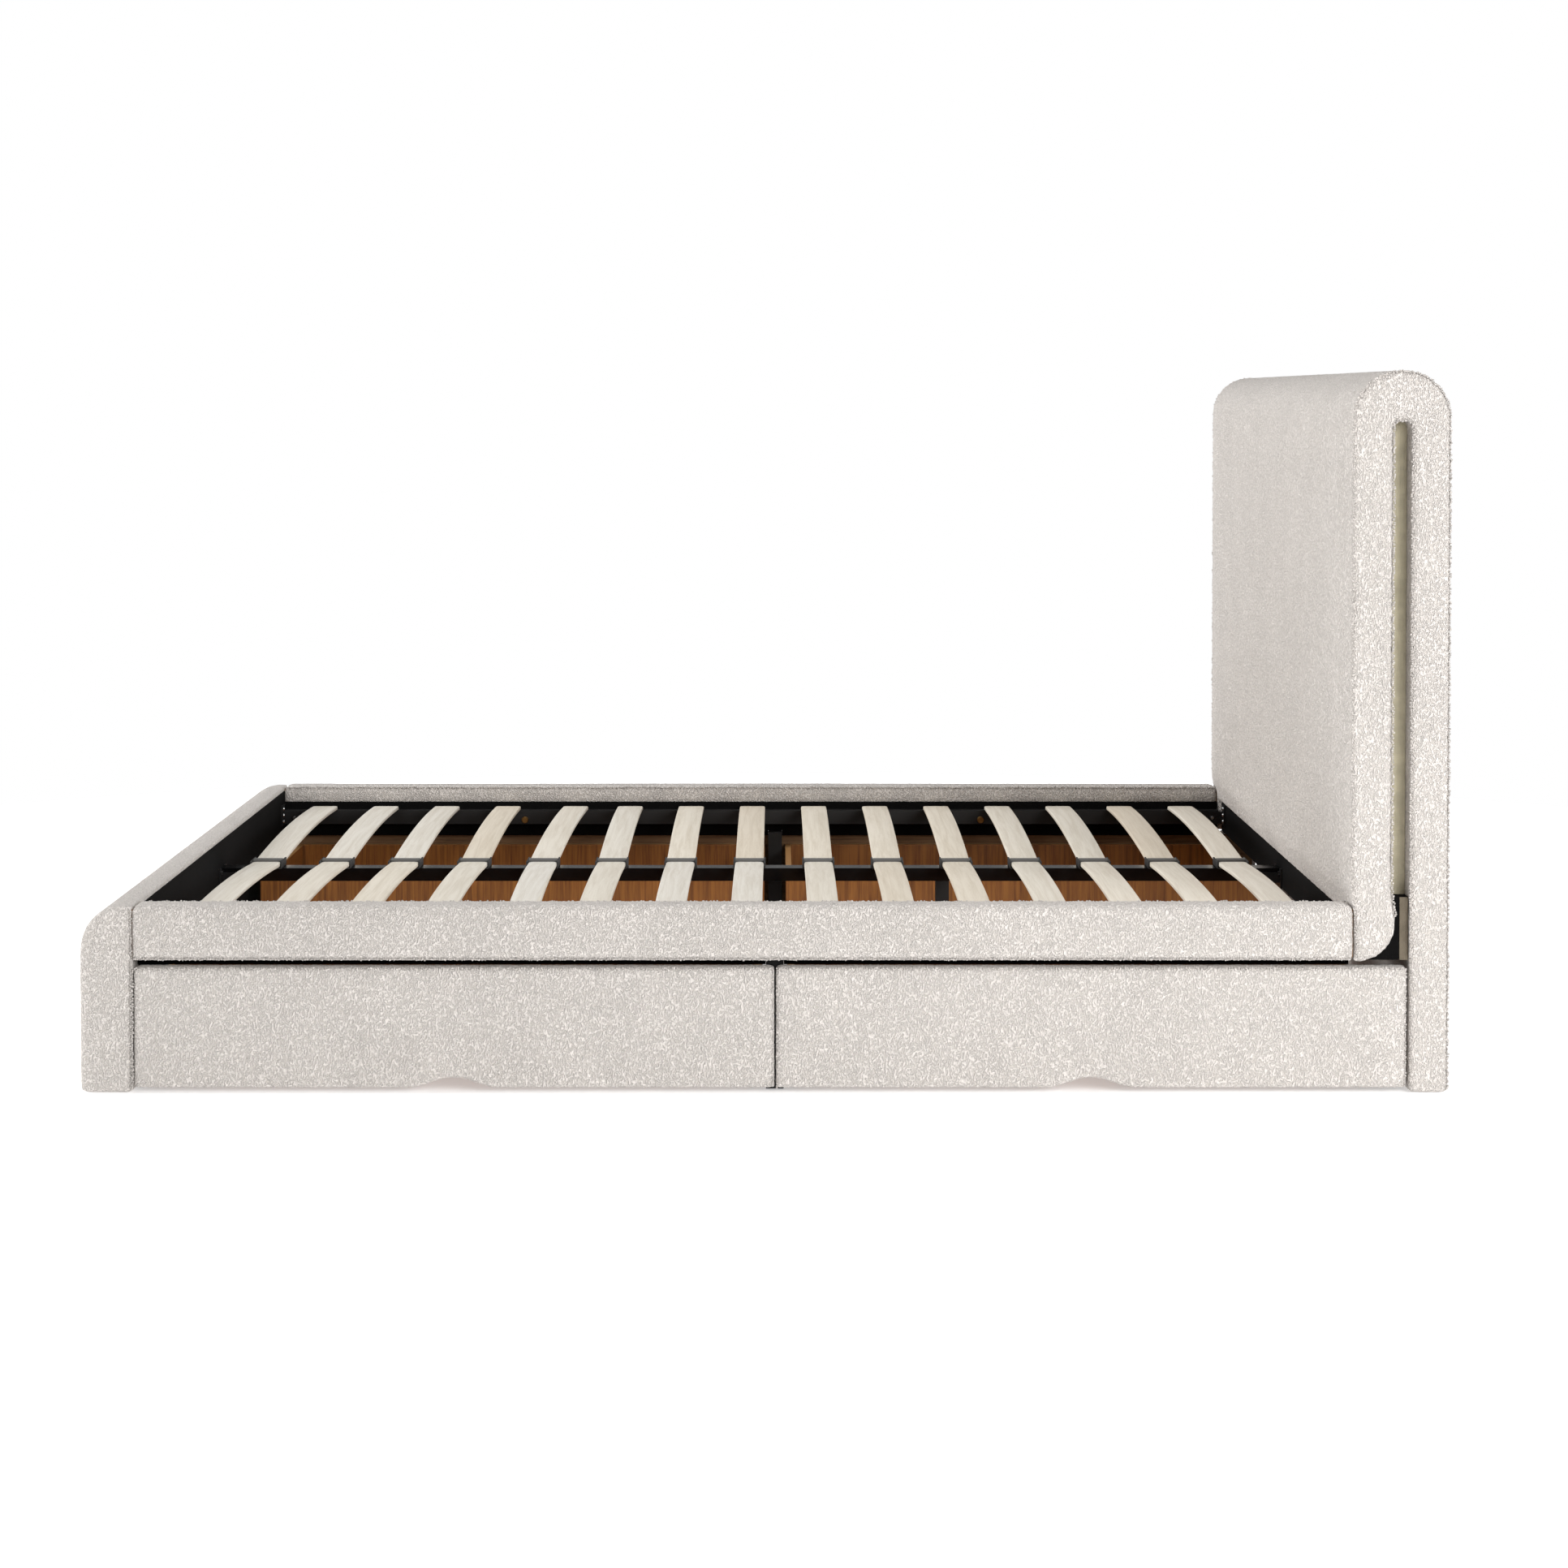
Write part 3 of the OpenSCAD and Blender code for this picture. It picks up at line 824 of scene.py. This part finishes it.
@dataclass
class YarnEdge:
    """A rough line of yarn loops, as boucle shows where it turns over an edge or a seam."""

    loop: float = 2.1 * MM
    step: float = 3.5 * MM
    scatter: float = 1.2 * MM
    seed: int = 7
    batch: int = 120

    def rows(self, name: str, paths: Sequence[Sequence[Vector]]) -> bpy.types.Object:
        """Scatter small squashed balls of yarn along paths.

        Args:
            name: The piece's name.
            paths: Lines of points.

        Returns:
            The object.
        """
        chance = random.Random(self.seed)
        whole, part, count = bmesh.new(), bmesh.new(), 0
        for path in paths:
            for centre in self._spots(path):
                off = Vector([chance.uniform(-1, 1) * self.scatter for _ in range(3)])
                size = [self.loop * chance.uniform(0.65, 1.25) for _ in range(3)]
                turn = Matrix.Rotation(chance.uniform(0, math.pi), 4, "Z")
                grow = Matrix.Diagonal((*size, 1.0))
                bmesh.ops.create_icosphere(part, subdivisions=1, radius=1.0,
                                           matrix=Matrix.Translation(centre + off) @ turn @ grow)
                count += 1
                if count % self.batch == 0:
                    pour(part, whole)
                    part = bmesh.new()
        pour(part, whole)
        return made(name, whole)

    def _spots(self, path: Sequence[Vector]) -> list[Vector]:
        """Points a step apart along a path."""
        spots: list[Vector] = []
        for a, b in zip(path, path[1:]):
            many = max(1, round((b - a).length / self.step))
            spots += [a.lerp(b, i / many) for i in range(many)]
        return spots


# ---- padded sub-assemblies ------------------------------------------------------------------

@dataclass
class Footboard:
    """The padded footboard: a thick panel whose outer top edge is a wide round."""

    finishes: Finishes
    top_round: float = 70 * MM
    edge_round: float = 6 * MM
    slack: float = 2 * MM
    press: float = 3.2 * MM
    padding: Padding = field(default_factory=lambda: Padding(voxel=7 * MM, coarse=14 * MM))

    def build(self) -> None:
        """Model, pad and dress the footboard, pressed against the rails' ends."""
        low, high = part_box("footboard_cover")
        low = Vector(low) + Vector((self.slack, self.slack, 0.5 * MM))
        high = Vector(high) - Vector((self.slack, -self.press, self.slack))
        bm = block(low, high)
        round_edges(bm, lambda c: c.y < low.y + NEAR and c.z > high.z - NEAR, self.top_round, 12)
        round_edges(bm, lambda c: c.x > high.x - NEAR, self.edge_round, 3)
        round_edges(bm, lambda c: c.x < low.x + NEAR, self.edge_round, 3)
        obj = made("footboard_boucle", bm)
        inner = high.y
        self.padding.blow_up(obj, lambda c: c.y > inner - 3 * MM or c.z < 4 * MM)
        dress(obj, self.finishes.get("boucle"), FRAME_BODY, "boucle_upholstery", "footboard_cover")


@dataclass
class HiddenBoards:
    """The boards inside the two standing panels, which stop just above the floor."""

    finishes: Finishes
    lift: float = 9 * MM
    inset: float = 2 * MM
    below_round: float = 78 * MM
    edge_round: float = 2 * MM

    def build(self) -> None:
        """Model and dress both boards."""
        for name in ("footboard", "headboard_back"):
            low, high = (Vector(c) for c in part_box(f"{name}_core"))
            drop = self.below_round if name == "footboard" else self.inset
            bm = block(low + Vector((self.inset, self.inset, self.lift)),
                       high - Vector((self.inset, self.inset, drop)))
            soften(bm, bm.edges[:], self.edge_round)
            dress(made(f"{name}_board", bm), self.finishes.get("board"), FRAME_BODY,
                  "raw_board", f"{name}_core")


@dataclass
class GrooveStrips:
    """Beige lining that runs on down the groove, over the ends of the black spacer, painted darker
    as painted shade.
    """

    finishes: Finishes
    thick: float = 1.6 * MM

    def build(self) -> None:
        """Model and dress one strip at each end of the spacer."""
        low, high = (Vector(c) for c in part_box("headboard_spacer"))
        panel_low, panel_high = (Vector(c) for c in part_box("headboard_slot_panel"))
        whole = bmesh.new()
        for start in (high.x, -high.x - self.thick):
            piece = block((start, panel_low.y + 8 * MM, low.z),
                          (start + self.thick, panel_high.y - 0.5 * MM, high.z))
            soften(piece, piece.edges[:], 0.5 * MM)
            pour(piece, whole)
        # The strips take the beige cloth painted darker: painted shade in the groove.
        dress(made("groove_strips", whole), self.finishes.get("taupe_cloth"), FRAME_BODY,
              "beige_lining")


@dataclass
class SideRail:
    """A padded side rail: boucle over the outside and top, turned down inside to a hem."""

    finishes: Finishes
    edge_round: float = 12 * MM
    slack: float = 1.5 * MM
    lift: float = 3.5 * MM
    padding: Padding = field(default_factory=lambda: Padding(voxel=5.5 * MM, coarse=11 * MM))

    def build(self) -> None:
        """Model the right rail, pad it, and mirror it for the left."""
        low, high = (Vector(c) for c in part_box("rail_cover_right"))
        _, lining_high = (Vector(c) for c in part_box("rail_lining_right"))
        s = self.slack
        bottom, top = low.z + self.lift, high.z + 0.5 * MM
        outline = [(lining_high.x + 0.5 * MM, low.z + 0.5 * MM), (high.x - s, bottom),
                   (high.x - s, top), (low.x + s, top),
                   (low.x + s, lining_high.z + 0.5 * MM),
                   (lining_high.x + 0.5 * MM, lining_high.z + 0.5 * MM)]
        bm = extruded(outline, Along.Y, low.y + 3.6 * MM, high.y - 0.6 * MM)
        round_edges(bm, lambda c: c.z > top - NEAR, self.edge_round, 4)
        round_edges(bm, lambda c: c.x > high.x - s - NEAR and c.z < bottom + NEAR,
                    0.5 * self.edge_round, 3)
        right = made("rail_boucle_right", bm)
        self.padding.blow_up(right, lambda c: c.z < bottom + 4 * MM or (
            c.z < lining_high.z and c.x < high.x - 20 * MM))
        dress_pair(right, self.finishes.get("boucle"), "rail_boucle_left", FRAME_BODY,
                   "rail_cover_{}")


@dataclass
class Headboard:
    """The padded headboard: one thick band folded over an arch, with a groove up each end."""

    finishes: Finishes
    edge_round: float = 6 * MM
    foot_round: float = 64 * MM
    slot_round: float = 5 * MM
    slack: float = 2 * MM
    taper: float = 90 * MM
    end_hold: float = 14 * MM
    tuck_hold: float = 12 * MM
    groove_hold: float = 4 * MM
    front_deep: float = 20 * MM
    thin: float = 0.35
    padding: Padding = field(default_factory=lambda: Padding(
        voxel=7 * MM, coarse=20 * MM, cap=9 * MM, refine=0, calm=40))

    def build(self) -> None:
        """Model the folded band from its side outline, pad it and dress it."""
        low, high = (Vector(c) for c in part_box("headboard_cover"))
        panel_low, panel_high = (Vector(c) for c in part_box("headboard_slot_panel"))
        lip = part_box("rail_cover_right")[0][2]
        s = self.slack
        front, back, top = low.y + s / 4, high.y - s, high.z - s
        slot_front, slot_back, slot_top = panel_low.y - 0.5 * MM, panel_high.y + 0.5 * MM, \
            panel_high.z + 0.5 * MM
        outline = [(front, lip + 1 * MM), (front, top), (back, top), (back, low.z + 0.5 * MM),
                   (slot_back, low.z + 0.5 * MM), (slot_back, slot_top), (slot_front, slot_top),
                   (slot_front, lip + 1 * MM)]
        ends = high.x - s
        arch = (back - front) / 2 - NEAR
        bm = extruded(outline, Along.X, -ends, ends,
                      {arch: (1, 2), self.foot_round: (7,), self.slot_round: (5, 6),
                       0.5 * self.slot_round: (0, 3)})
        round_edges(bm, lambda c: c.x > ends - NEAR, self.edge_round, 3)
        round_edges(bm, lambda c: c.x < NEAR - ends, self.edge_round, 3)
        obj = made("headboard_boucle", bm)
        lining_low, lining_high = (Vector(c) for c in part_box("head_lining"))
        tuck_top = lining_high.z
        tuck = made("tuck", block((lining_low.x, low.y - self.taper, low.z),
                                  (lining_high.x, lining_high.y + 1 * MM, tuck_top)))
        cut = obj.modifiers.new("tuck", "BOOLEAN")
        cut.operation, cut.solver, cut.object = "DIFFERENCE", "EXACT", tuck
        apply_modifiers(obj)
        bpy.data.objects.remove(tuck)

        def held(c: Vector) -> bool:
            """Points at the ends, in the groove, behind the rails and at the floor stay."""
            groove = slot_front - self.groove_hold < c.y < slot_back + self.groove_hold
            return abs(c.x) > ends - self.end_hold or groove or c.z < tuck_top + self.tuck_hold

        def reach(c: Vector) -> float:
            """The front is deeply padded, the back panel thinly, and both thin out at the ends."""
            share = min(1.0, max(0.0, (ends - self.end_hold - abs(c.x)) / self.taper))
            depth = 1.0 if c.y < slot_front - self.front_deep else self.thin
            return share * share * (3 - 2 * share) * depth

        self.padding.blow_up(obj, held, reach)
        places = coords(obj.data)
        places[:, 1] = leaned(places[:, 1], places[:, 2])
        obj.data.vertices.foreach_set("co", places.astype(np.float32).ravel())
        dress(obj, self.finishes.get("boucle"), FRAME_BODY, "boucle_upholstery", "headboard_cover")


@dataclass
class DrawerFront:
    """A padded drawer front with a low finger notch in its bottom edge."""

    finishes: Finishes
    name: str
    notch_y: float
    notch_wide: float = 150 * MM
    notch_high: float = 17 * MM
    slack: float = 1.5 * MM
    foot_slack: float = -0.7 * MM
    head_slack: float = -0.7 * MM
    top_gap: float = 3.0 * MM
    edge_round: float = 5 * MM
    steps: int = 24
    padding: Padding = field(default_factory=lambda: Padding(voxel=5.5 * MM, coarse=11 * MM))

    def _bottom(self, y: float, z: float) -> float:
        """Height of the bottom edge at a place along the front."""
        away = abs(y - self.notch_y) / (self.notch_wide / 2)
        return z if away >= 1 else z + self.notch_high * (1 + math.cos(math.pi * away)) / 2

    def build(self) -> None:
        """Model the right-hand front, pad it, and mirror it for the left."""
        low, high = (Vector(c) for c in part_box(f"right_{self.name}_front_cover"))
        s = self.slack
        top, first, last = high.z - self.top_gap, low.y + self.foot_slack, high.y - self.head_slack
        bm = block((low.x + 1 * MM, first, low.z + s), (high.x - s, last, top))
        for i in range(self.steps + 1):
            y = self.notch_y + self.notch_wide * (i / self.steps - 0.5)
            bmesh.ops.bisect_plane(bm, geom=bm.verts[:] + bm.edges[:] + bm.faces[:],
                                   plane_co=(0, y, 0), plane_no=(0, 1, 0))
        for v in bm.verts:
            if v.co.z < low.z + s + 0.1 * MM:
                v.co.z = self._bottom(v.co.y, low.z + s)
        front = high.x - s
        round_edges(bm, lambda c: c.x > front - NEAR and (
            c.z > top - NEAR or c.y < first + NEAR or c.y > last - NEAR
            or c.z < low.z + s + self.notch_high + 2 * NEAR), self.edge_round, 3)
        right = made(f"right_{self.name}_front_boucle", bm)
        self.padding.blow_up(right, lambda c: (
            c.x < front - 24 * MM or c.z > top - 1.5 * MM or not first + NEAR < c.y < last - NEAR))
        dress_pair(right, self.finishes.get("boucle"), f"left_{self.name}_front_boucle",
                   f"{{}}_{self.name}_drawer", f"{{}}_{self.name}_front_cover")


@dataclass
class RoughEdges:
    """Yarn loops that stand proud where the boucle turns over edges and seams."""

    finishes: Finishes
    yarn: YarnEdge = field(default_factory=YarnEdge)

    def _arch(self, low: Vector, high: Vector, x: float, bottom: float) -> list[Vector]:
        """The headboard's outer side outline, from the front leg's foot over to the floor.

        Args:
            low: Lowest corner of the headboard.
            high: Highest corner of the headboard.
            x: Where the outline lies.
            bottom: Height of the front leg's foot.

        Returns:
            Points along the outline.
        """
        inset = 3.0 * MM
        radius = (high.y - low.y) / 2
        centre = Vector((x, low.y + radius, high.z - radius))
        turn = [centre + Vector((0, -math.cos(math.pi * i / 24), math.sin(math.pi * i / 24)))
                * (radius - inset) for i in range(25)]
        points = [Vector((x, low.y + inset, z)) for z in (bottom, 300 * MM, 345 * MM)]
        points += [*turn, Vector((x, high.y - inset, low.z + 4 * MM))]
        for point in points:
            point.y = leaned(point.y, point.z)
        return points

    def _frame_paths(self, side: int) -> list[list[Vector]]:
        """Lines on one side of the fixed frame.

        Args:
            side: 1 for the right side, -1 for the left.

        Returns:
            Paths of points.
        """
        low, high = (Vector(c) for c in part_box("headboard_cover"))
        groove_low, groove_high = (Vector(c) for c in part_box("headboard_slot_panel"))
        rail_low, rail_high = (Vector(c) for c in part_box("rail_cover_right"))
        _, foot_high = (Vector(c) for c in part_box("footboard_cover"))
        out = side * (high.x - 3.0 * MM)
        paths = [self._arch(low, high, out, rail_low.z + 6 * MM)]
        rim = side * (high.x - 1.5 * MM)
        g0, g1, top = groove_low.y - 0.8 * MM, groove_high.y + 0.8 * MM, groove_high.z
        groove = [Vector((rim, y, z)) for y, z in (
            (g0, 300 * MM), (g0, 345 * MM), (g0, top - 5 * MM), (g0 + 5 * MM, top),
            (g1 - 5 * MM, top), (g1, top - 5 * MM), (g1, 232 * MM))]
        for point in groove:
            point.y = leaned(point.y, point.z)
        paths.append(groove)
        for x, z in ((rail_high.x - 2 * MM, rail_low.z + 6.2 * MM),
                     (rail_low.x + 3 * MM, rail_high.z - 2.6 * MM)):
            paths.append([Vector((side * x, rail_low.y + 6 * MM, z)),
                          Vector((side * x, rail_high.y - 2 * MM, z))])
        seam = foot_high.y + 1 * MM
        paths.append([Vector((out, seam, 6 * MM)), Vector((out, seam, foot_high.z - 8 * MM))])
        return paths

    def _drawer_paths(self, name: str, side: int) -> list[list[Vector]]:
        """Lines round one drawer front.

        Args:
            name: "foot" or "head".
            side: 1 for the right side, -1 for the left.

        Returns:
            Paths of points.
        """
        low, high = (Vector(c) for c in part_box(f"right_{name}_front_cover"))
        x, inset, top = side * (high.x - 2.8 * MM), 1.8 * MM, high.z - 6 * MM
        return [[Vector((x, low.y + inset, low.z + inset)), Vector((x, low.y + inset, top)),
                 Vector((x, high.y - inset, top)), Vector((x, high.y - inset, low.z + inset))]]

    def build(self) -> None:
        """Lay the loops on the frame and on each drawer front."""
        cloth = self.finishes.get("boucle")
        for side, word in ((1, "right"), (-1, "left")):
            obj = self.yarn.rows(f"frame_edge_loops_{word}", self._frame_paths(side))
            dress(obj, cloth, FRAME_BODY, "boucle_upholstery")
            for name in ("foot", "head"):
                obj = self.yarn.rows(f"{word}_{name}_edge_loops", self._drawer_paths(name, side))
                dress(obj, cloth, f"{word}_{name}_drawer", "boucle_upholstery")


# ---- slats ----------------------------------------------------------------------------------

@dataclass
class SlatRows:
    """Two rows of bowed birch slats, with rounded corners and softened edges."""

    finishes: Finishes
    width: float = 55 * MM
    thick: float = 8 * MM
    inner: float = 12 * MM
    outer: float = 754 * MM
    flat_to: float = 30 * MM
    inner_top: float = 269.5 * MM
    outer_top: float = 276 * MM
    bow: float = 10 * MM
    corner: float = 9 * MM
    soft: float = 2.2 * MM
    stations: int = 22
    skewed: int = 4
    skew: float = math.radians(1.1)

    def top(self, x: float) -> float:
        """Height of a slat's top face at a distance from the middle of the bed."""
        t = max(0.0, (x - self.flat_to) / (self.outer - self.flat_to))
        return self.inner_top + (self.outer_top - self.inner_top) * t \
            + 4 * self.bow * t * (1 - t)

    def _slat(self) -> bmesh.types.BMesh:
        """Model one right-hand slat, centred on y = 0.

        Returns:
            The slat as a bmesh.
        """
        bm = block((self.inner, -self.width / 2, -self.thick), (self.outer, self.width / 2, 0))
        tall = [e for e in bm.edges if abs(e.verts[0].co.z - e.verts[1].co.z) > NEAR]
        soften(bm, tall, self.corner, 5)
        rims = [e for e in bm.edges if abs(e.verts[0].co.z - e.verts[1].co.z) < NEAR]
        soften(bm, rims, self.soft, 3)
        for i in range(1, self.stations):
            x = self.inner + (self.outer - self.inner) * i / self.stations
            bmesh.ops.bisect_plane(bm, geom=bm.verts[:] + bm.edges[:] + bm.faces[:],
                                   plane_co=(x, 0, 0), plane_no=(1, 0, 0))
        for v in bm.verts:
            v.co.z += self.top(v.co.x)
        return bm

    def build(self) -> None:
        """Lay out both rows."""
        right = made("birch_slats_right",
                     spread(self._slat(), SLAT_PLACES, {self.skewed: self.skew}))
        for obj, side in ((right, "right"), (mirrored(right, "birch_slats_left"), "left")):
            dress(obj, self.finishes.get("birch"), FRAME_BODY, "birch_slat", f"slats_{side}")


@dataclass
class SlatCaps:
    """Rubber caps on the centre rail: a tray with side lips, painted darker as painted shade, and a
    grey ridge between slats.
    """

    finishes: Finishes
    tray_thick: float = 2.4 * MM
    edge_round: float = 0.9 * MM
    lip: float = 3.2 * MM
    lip_top: float = 272.5 * MM
    ridge_half: float = 9 * MM

    def build(self) -> None:
        """Model one tray and one ridge, and set them under each pair of slats."""
        low, high = (Vector(c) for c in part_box("slat_caps"))
        half = high.y - SLAT_PLACES[-1]
        floor = low.z + self.tray_thick
        parts = [block((low.x, -half, low.z), (high.x, half, floor))]
        for side in (-1, 1):
            edges = sorted((side * half, side * (half - self.lip)))
            parts.append(block((low.x, edges[0], low.z), (high.x, edges[1], self.lip_top)))
        ridge = block((-self.ridge_half, self.lip - half, floor),
                      (self.ridge_half, half - self.lip, high.z))
        trays, ridges = bmesh.new(), bmesh.new()
        for whole, pieces in ((trays, parts), (ridges, [ridge])):
            for piece in pieces:
                soften(piece, piece.edges[:], self.edge_round)
                pour(spread(piece, SLAT_PLACES), whole)
        tray = made("slat_cap_trays", trays)
        # The trays take the grey rubber painted darker: painted shade under the slats.
        dress(tray, self.finishes.get("dark_rubber"), FRAME_BODY, "grey_rubber", "slat_caps")
        dress(made("slat_cap_ridges", ridges), self.finishes.get("rubber"), FRAME_BODY,
              "grey_rubber")


# ---- CAD nodes that keep their shape --------------------------------------------------------

@dataclass
class KeptNodes:
    """CAD nodes that are right as they are and only need their real finish."""

    finishes: Finishes
    plan: dict[str, tuple[str, ...]] = field(default_factory=lambda: {
        "black_cloth": ("rail_lining_right", "rail_lining_left", "foot_lining", "head_lining",
                        "headboard_spacer"),
        "beige_cloth": ("headboard_slot_panel",),
        "painted_batten": ("slat_ledge_right", "slat_ledge_left", "side_posts"),
        "coated_steel": ("centre_rail_brackets", "centre_legs", "corner_brackets"),
        "enamel_tube": ("centre_rail",),
        "zinc": ("corner_screws",),
        "brass": ("ledge_bolts",),
        "board": ("rail_core_right", "rail_core_left", "headboard_front_core",
                  "headboard_top_core"),
    })
    drawer_plan: dict[str, tuple[str, ...]] = field(default_factory=lambda: {
        "board": ("front_board",),
        "walnut": ("box_sides", "box_long_walls"),
        "hardboard": ("box_bottom",),
        "coated_steel": ("casters",),
        "wheel": ("wheels_outer", "wheels_inner"),
    })

    def build(self, frame: dict[str, Any]) -> None:
        """Give each node its material.

        Args:
            frame: The loaded frame.
        """
        for finish, names in self.plan.items():
            for name in names:
                self._paint(frame["nodes"][name], finish)
        for drawer in ("right_foot", "right_head", "left_foot", "left_head"):
            for finish, parts in self.drawer_plan.items():
                for part in parts:
                    self._paint(frame["nodes"][f"{drawer}_{part}"], finish)

    def _paint(self, obj: bpy.types.Object, finish: str) -> None:
        """Put one finish in every slot of a node."""
        for slot in obj.material_slots:
            slot.material = self.finishes.get(finish)
        LOG.info("%s: %s", obj.name, finish)


# ---- studio ---------------------------------------------------------------------------------

@dataclass
class Studio:
    """Camera, white sweep and soft lights."""

    eye: tuple[float, float, float] = (5.9, 0.0199, 1.1617)
    tilt: float = 1.45
    lens: float = 69.75
    shift: Point = (0.0050, -0.1941)
    floor_reach: float = 3.6
    floor_glow: Point = (0.40, 0.82)

    def build(self) -> None:
        """Make the camera, the floor, the lights and the world."""
        self._camera()
        self._floor()
        self._lights()
        scene = bpy.context.scene
        scene.view_settings.view_transform = "Standard"

    def _camera(self) -> None:
        """Stand the camera beside the bed at eye height, level with the headboard's arch."""
        data = bpy.data.cameras.new("camera")
        data.sensor_width = 36.0
        data.lens = self.lens
        data.shift_x, data.shift_y = self.shift
        data.clip_end = 200.0
        camera = bpy.data.objects.new("camera", data)
        camera.location = self.eye
        camera.rotation_euler = (math.radians(90 - self.tilt), 0, math.radians(90))
        bpy.context.scene.collection.objects.link(camera)
        bpy.context.scene.camera = camera

    def _floor(self) -> None:
        """Lay a plain pale floor just under the feet, which glows a little as painted light."""
        bm = bmesh.new()
        bmesh.ops.create_circle(bm, cap_ends=True, segments=128, radius=self.floor_reach)
        bmesh.ops.translate(bm, vec=(0, 0, -0.3 * MM), verts=bm.verts)
        floor = made("floor", bm)
        material = bpy.data.materials.new("matt_paper_white_glowing")
        material.use_nodes = True
        base = material.node_tree.nodes["Principled BSDF"]
        base.inputs["Base Color"].default_value = linear("FAFAFA")
        base.inputs["Roughness"].default_value = 0.9
        base.inputs["Specular IOR Level"].default_value = 0.1
        # The sheet glows a little as painted light, more toward its rim, so it runs into the white
        # room.
        base.inputs["Emission Color"].default_value = linear("FFFFFF")
        tree = material.node_tree
        away = add_node(tree, "VectorMath", {"operation": "LENGTH"},
                        i0=add_node(tree, "TexCoord").outputs["Object"]).outputs["Value"]
        glow = add_node(tree, "MapRange", Value=away, From_Min=1.3, From_Max=self.floor_reach,
                        To_Min=self.floor_glow[0], To_Max=self.floor_glow[1])
        tree.links.new(glow.outputs["Result"], base.inputs["Emission Strength"])
        floor.data.materials.append(material)

    def _light(self, name: str, place: Sequence[float], aim: Sequence[float], size: float,
               power: float) -> None:
        """Hang one square softbox.

        Args:
            name: The light's name.
            place: Where it hangs.
            aim: The point it faces.
            size: Its side.
            power: Its power in watts.
        """
        data = bpy.data.lights.new(name, "AREA")
        data.size = size
        data.energy = power
        lamp = bpy.data.objects.new(name, data)
        lamp.location = place
        way = Vector(aim) - Vector(place)
        lamp.rotation_euler = way.to_track_quat("-Z", "Y").to_euler()
        bpy.context.scene.collection.objects.link(lamp)

    def _lights(self) -> None:
        """Light the room from all round, with softboxes overhead, at both ends and behind."""
        world = bpy.data.worlds.new("studio")
        bpy.context.scene.world = world
        world.use_nodes = True
        tree = world.node_tree
        tree.nodes.clear()
        sky = add_node(tree, "Background", Color=linear("FFFFFF"), Strength=0.24)
        seen = add_node(tree, "Background", Color=linear("FFFFFF"), Strength=1.0)
        ray = add_node(tree, "LightPath").outputs["Is Camera Ray"]
        pick = add_node(tree, "MixShader", Fac=ray)
        tree.links.new(sky.outputs[0], pick.inputs[1])
        tree.links.new(seen.outputs[0], pick.inputs[2])
        out = add_node(tree, "OutputWorld")
        tree.links.new(pick.outputs[0], out.inputs["Surface"])
        self._light("overhead", (0.2, -1.5, 4.5), (0, -0.9, 0), 5.0, 122.0)
        self._light("front_side", (6.0, 2.3, 2.0), (0.8, 0.9, 0.6), 2.0, 105.0)
        self._light("head_side", (3.8, 2.9, 1.9), (0.8, 0.9, 0.6), 2.0, 98.0)
        self._light("foot_side", (-0.6, -10.5, 2.6), (0.0, 1.0, 0.7), 5.0, 940.0)
        self._light("back_fill", (-5.0, 5.0, 1.8), (-0.5, 0.8, 0.6), 3.0, 130.0)


# ---- the bed --------------------------------------------------------------------------------

@dataclass
class Bed:
    """The whole bed, built in order."""

    finishes: Finishes = field(default_factory=Finishes)

    def build(self, frame: dict[str, Any]) -> None:
        """Build every sub-assembly.

        Args:
            frame: The loaded frame.
        """
        KeptNodes(self.finishes).build(frame)
        HiddenBoards(self.finishes).build()
        Footboard(self.finishes).build()
        SideRail(self.finishes).build()
        GrooveStrips(self.finishes).build()
        Headboard(self.finishes).build()
        DrawerFront(self.finishes, "foot", notch_y=-524 * MM, foot_slack=2.6 * MM).build()
        DrawerFront(self.finishes, "head", notch_y=549.5 * MM).build()
        SlatRows(self.finishes).build()
        SlatCaps(self.finishes).build()
        RoughEdges(self.finishes).build()


def main() -> None:
    """Load the frame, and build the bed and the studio."""
    logging.basicConfig(level=logging.INFO, format="%(name)s: %(message)s")
    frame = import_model()
    Studio().build()
    Bed().build(frame)


if __name__ == "__main__":
    main()
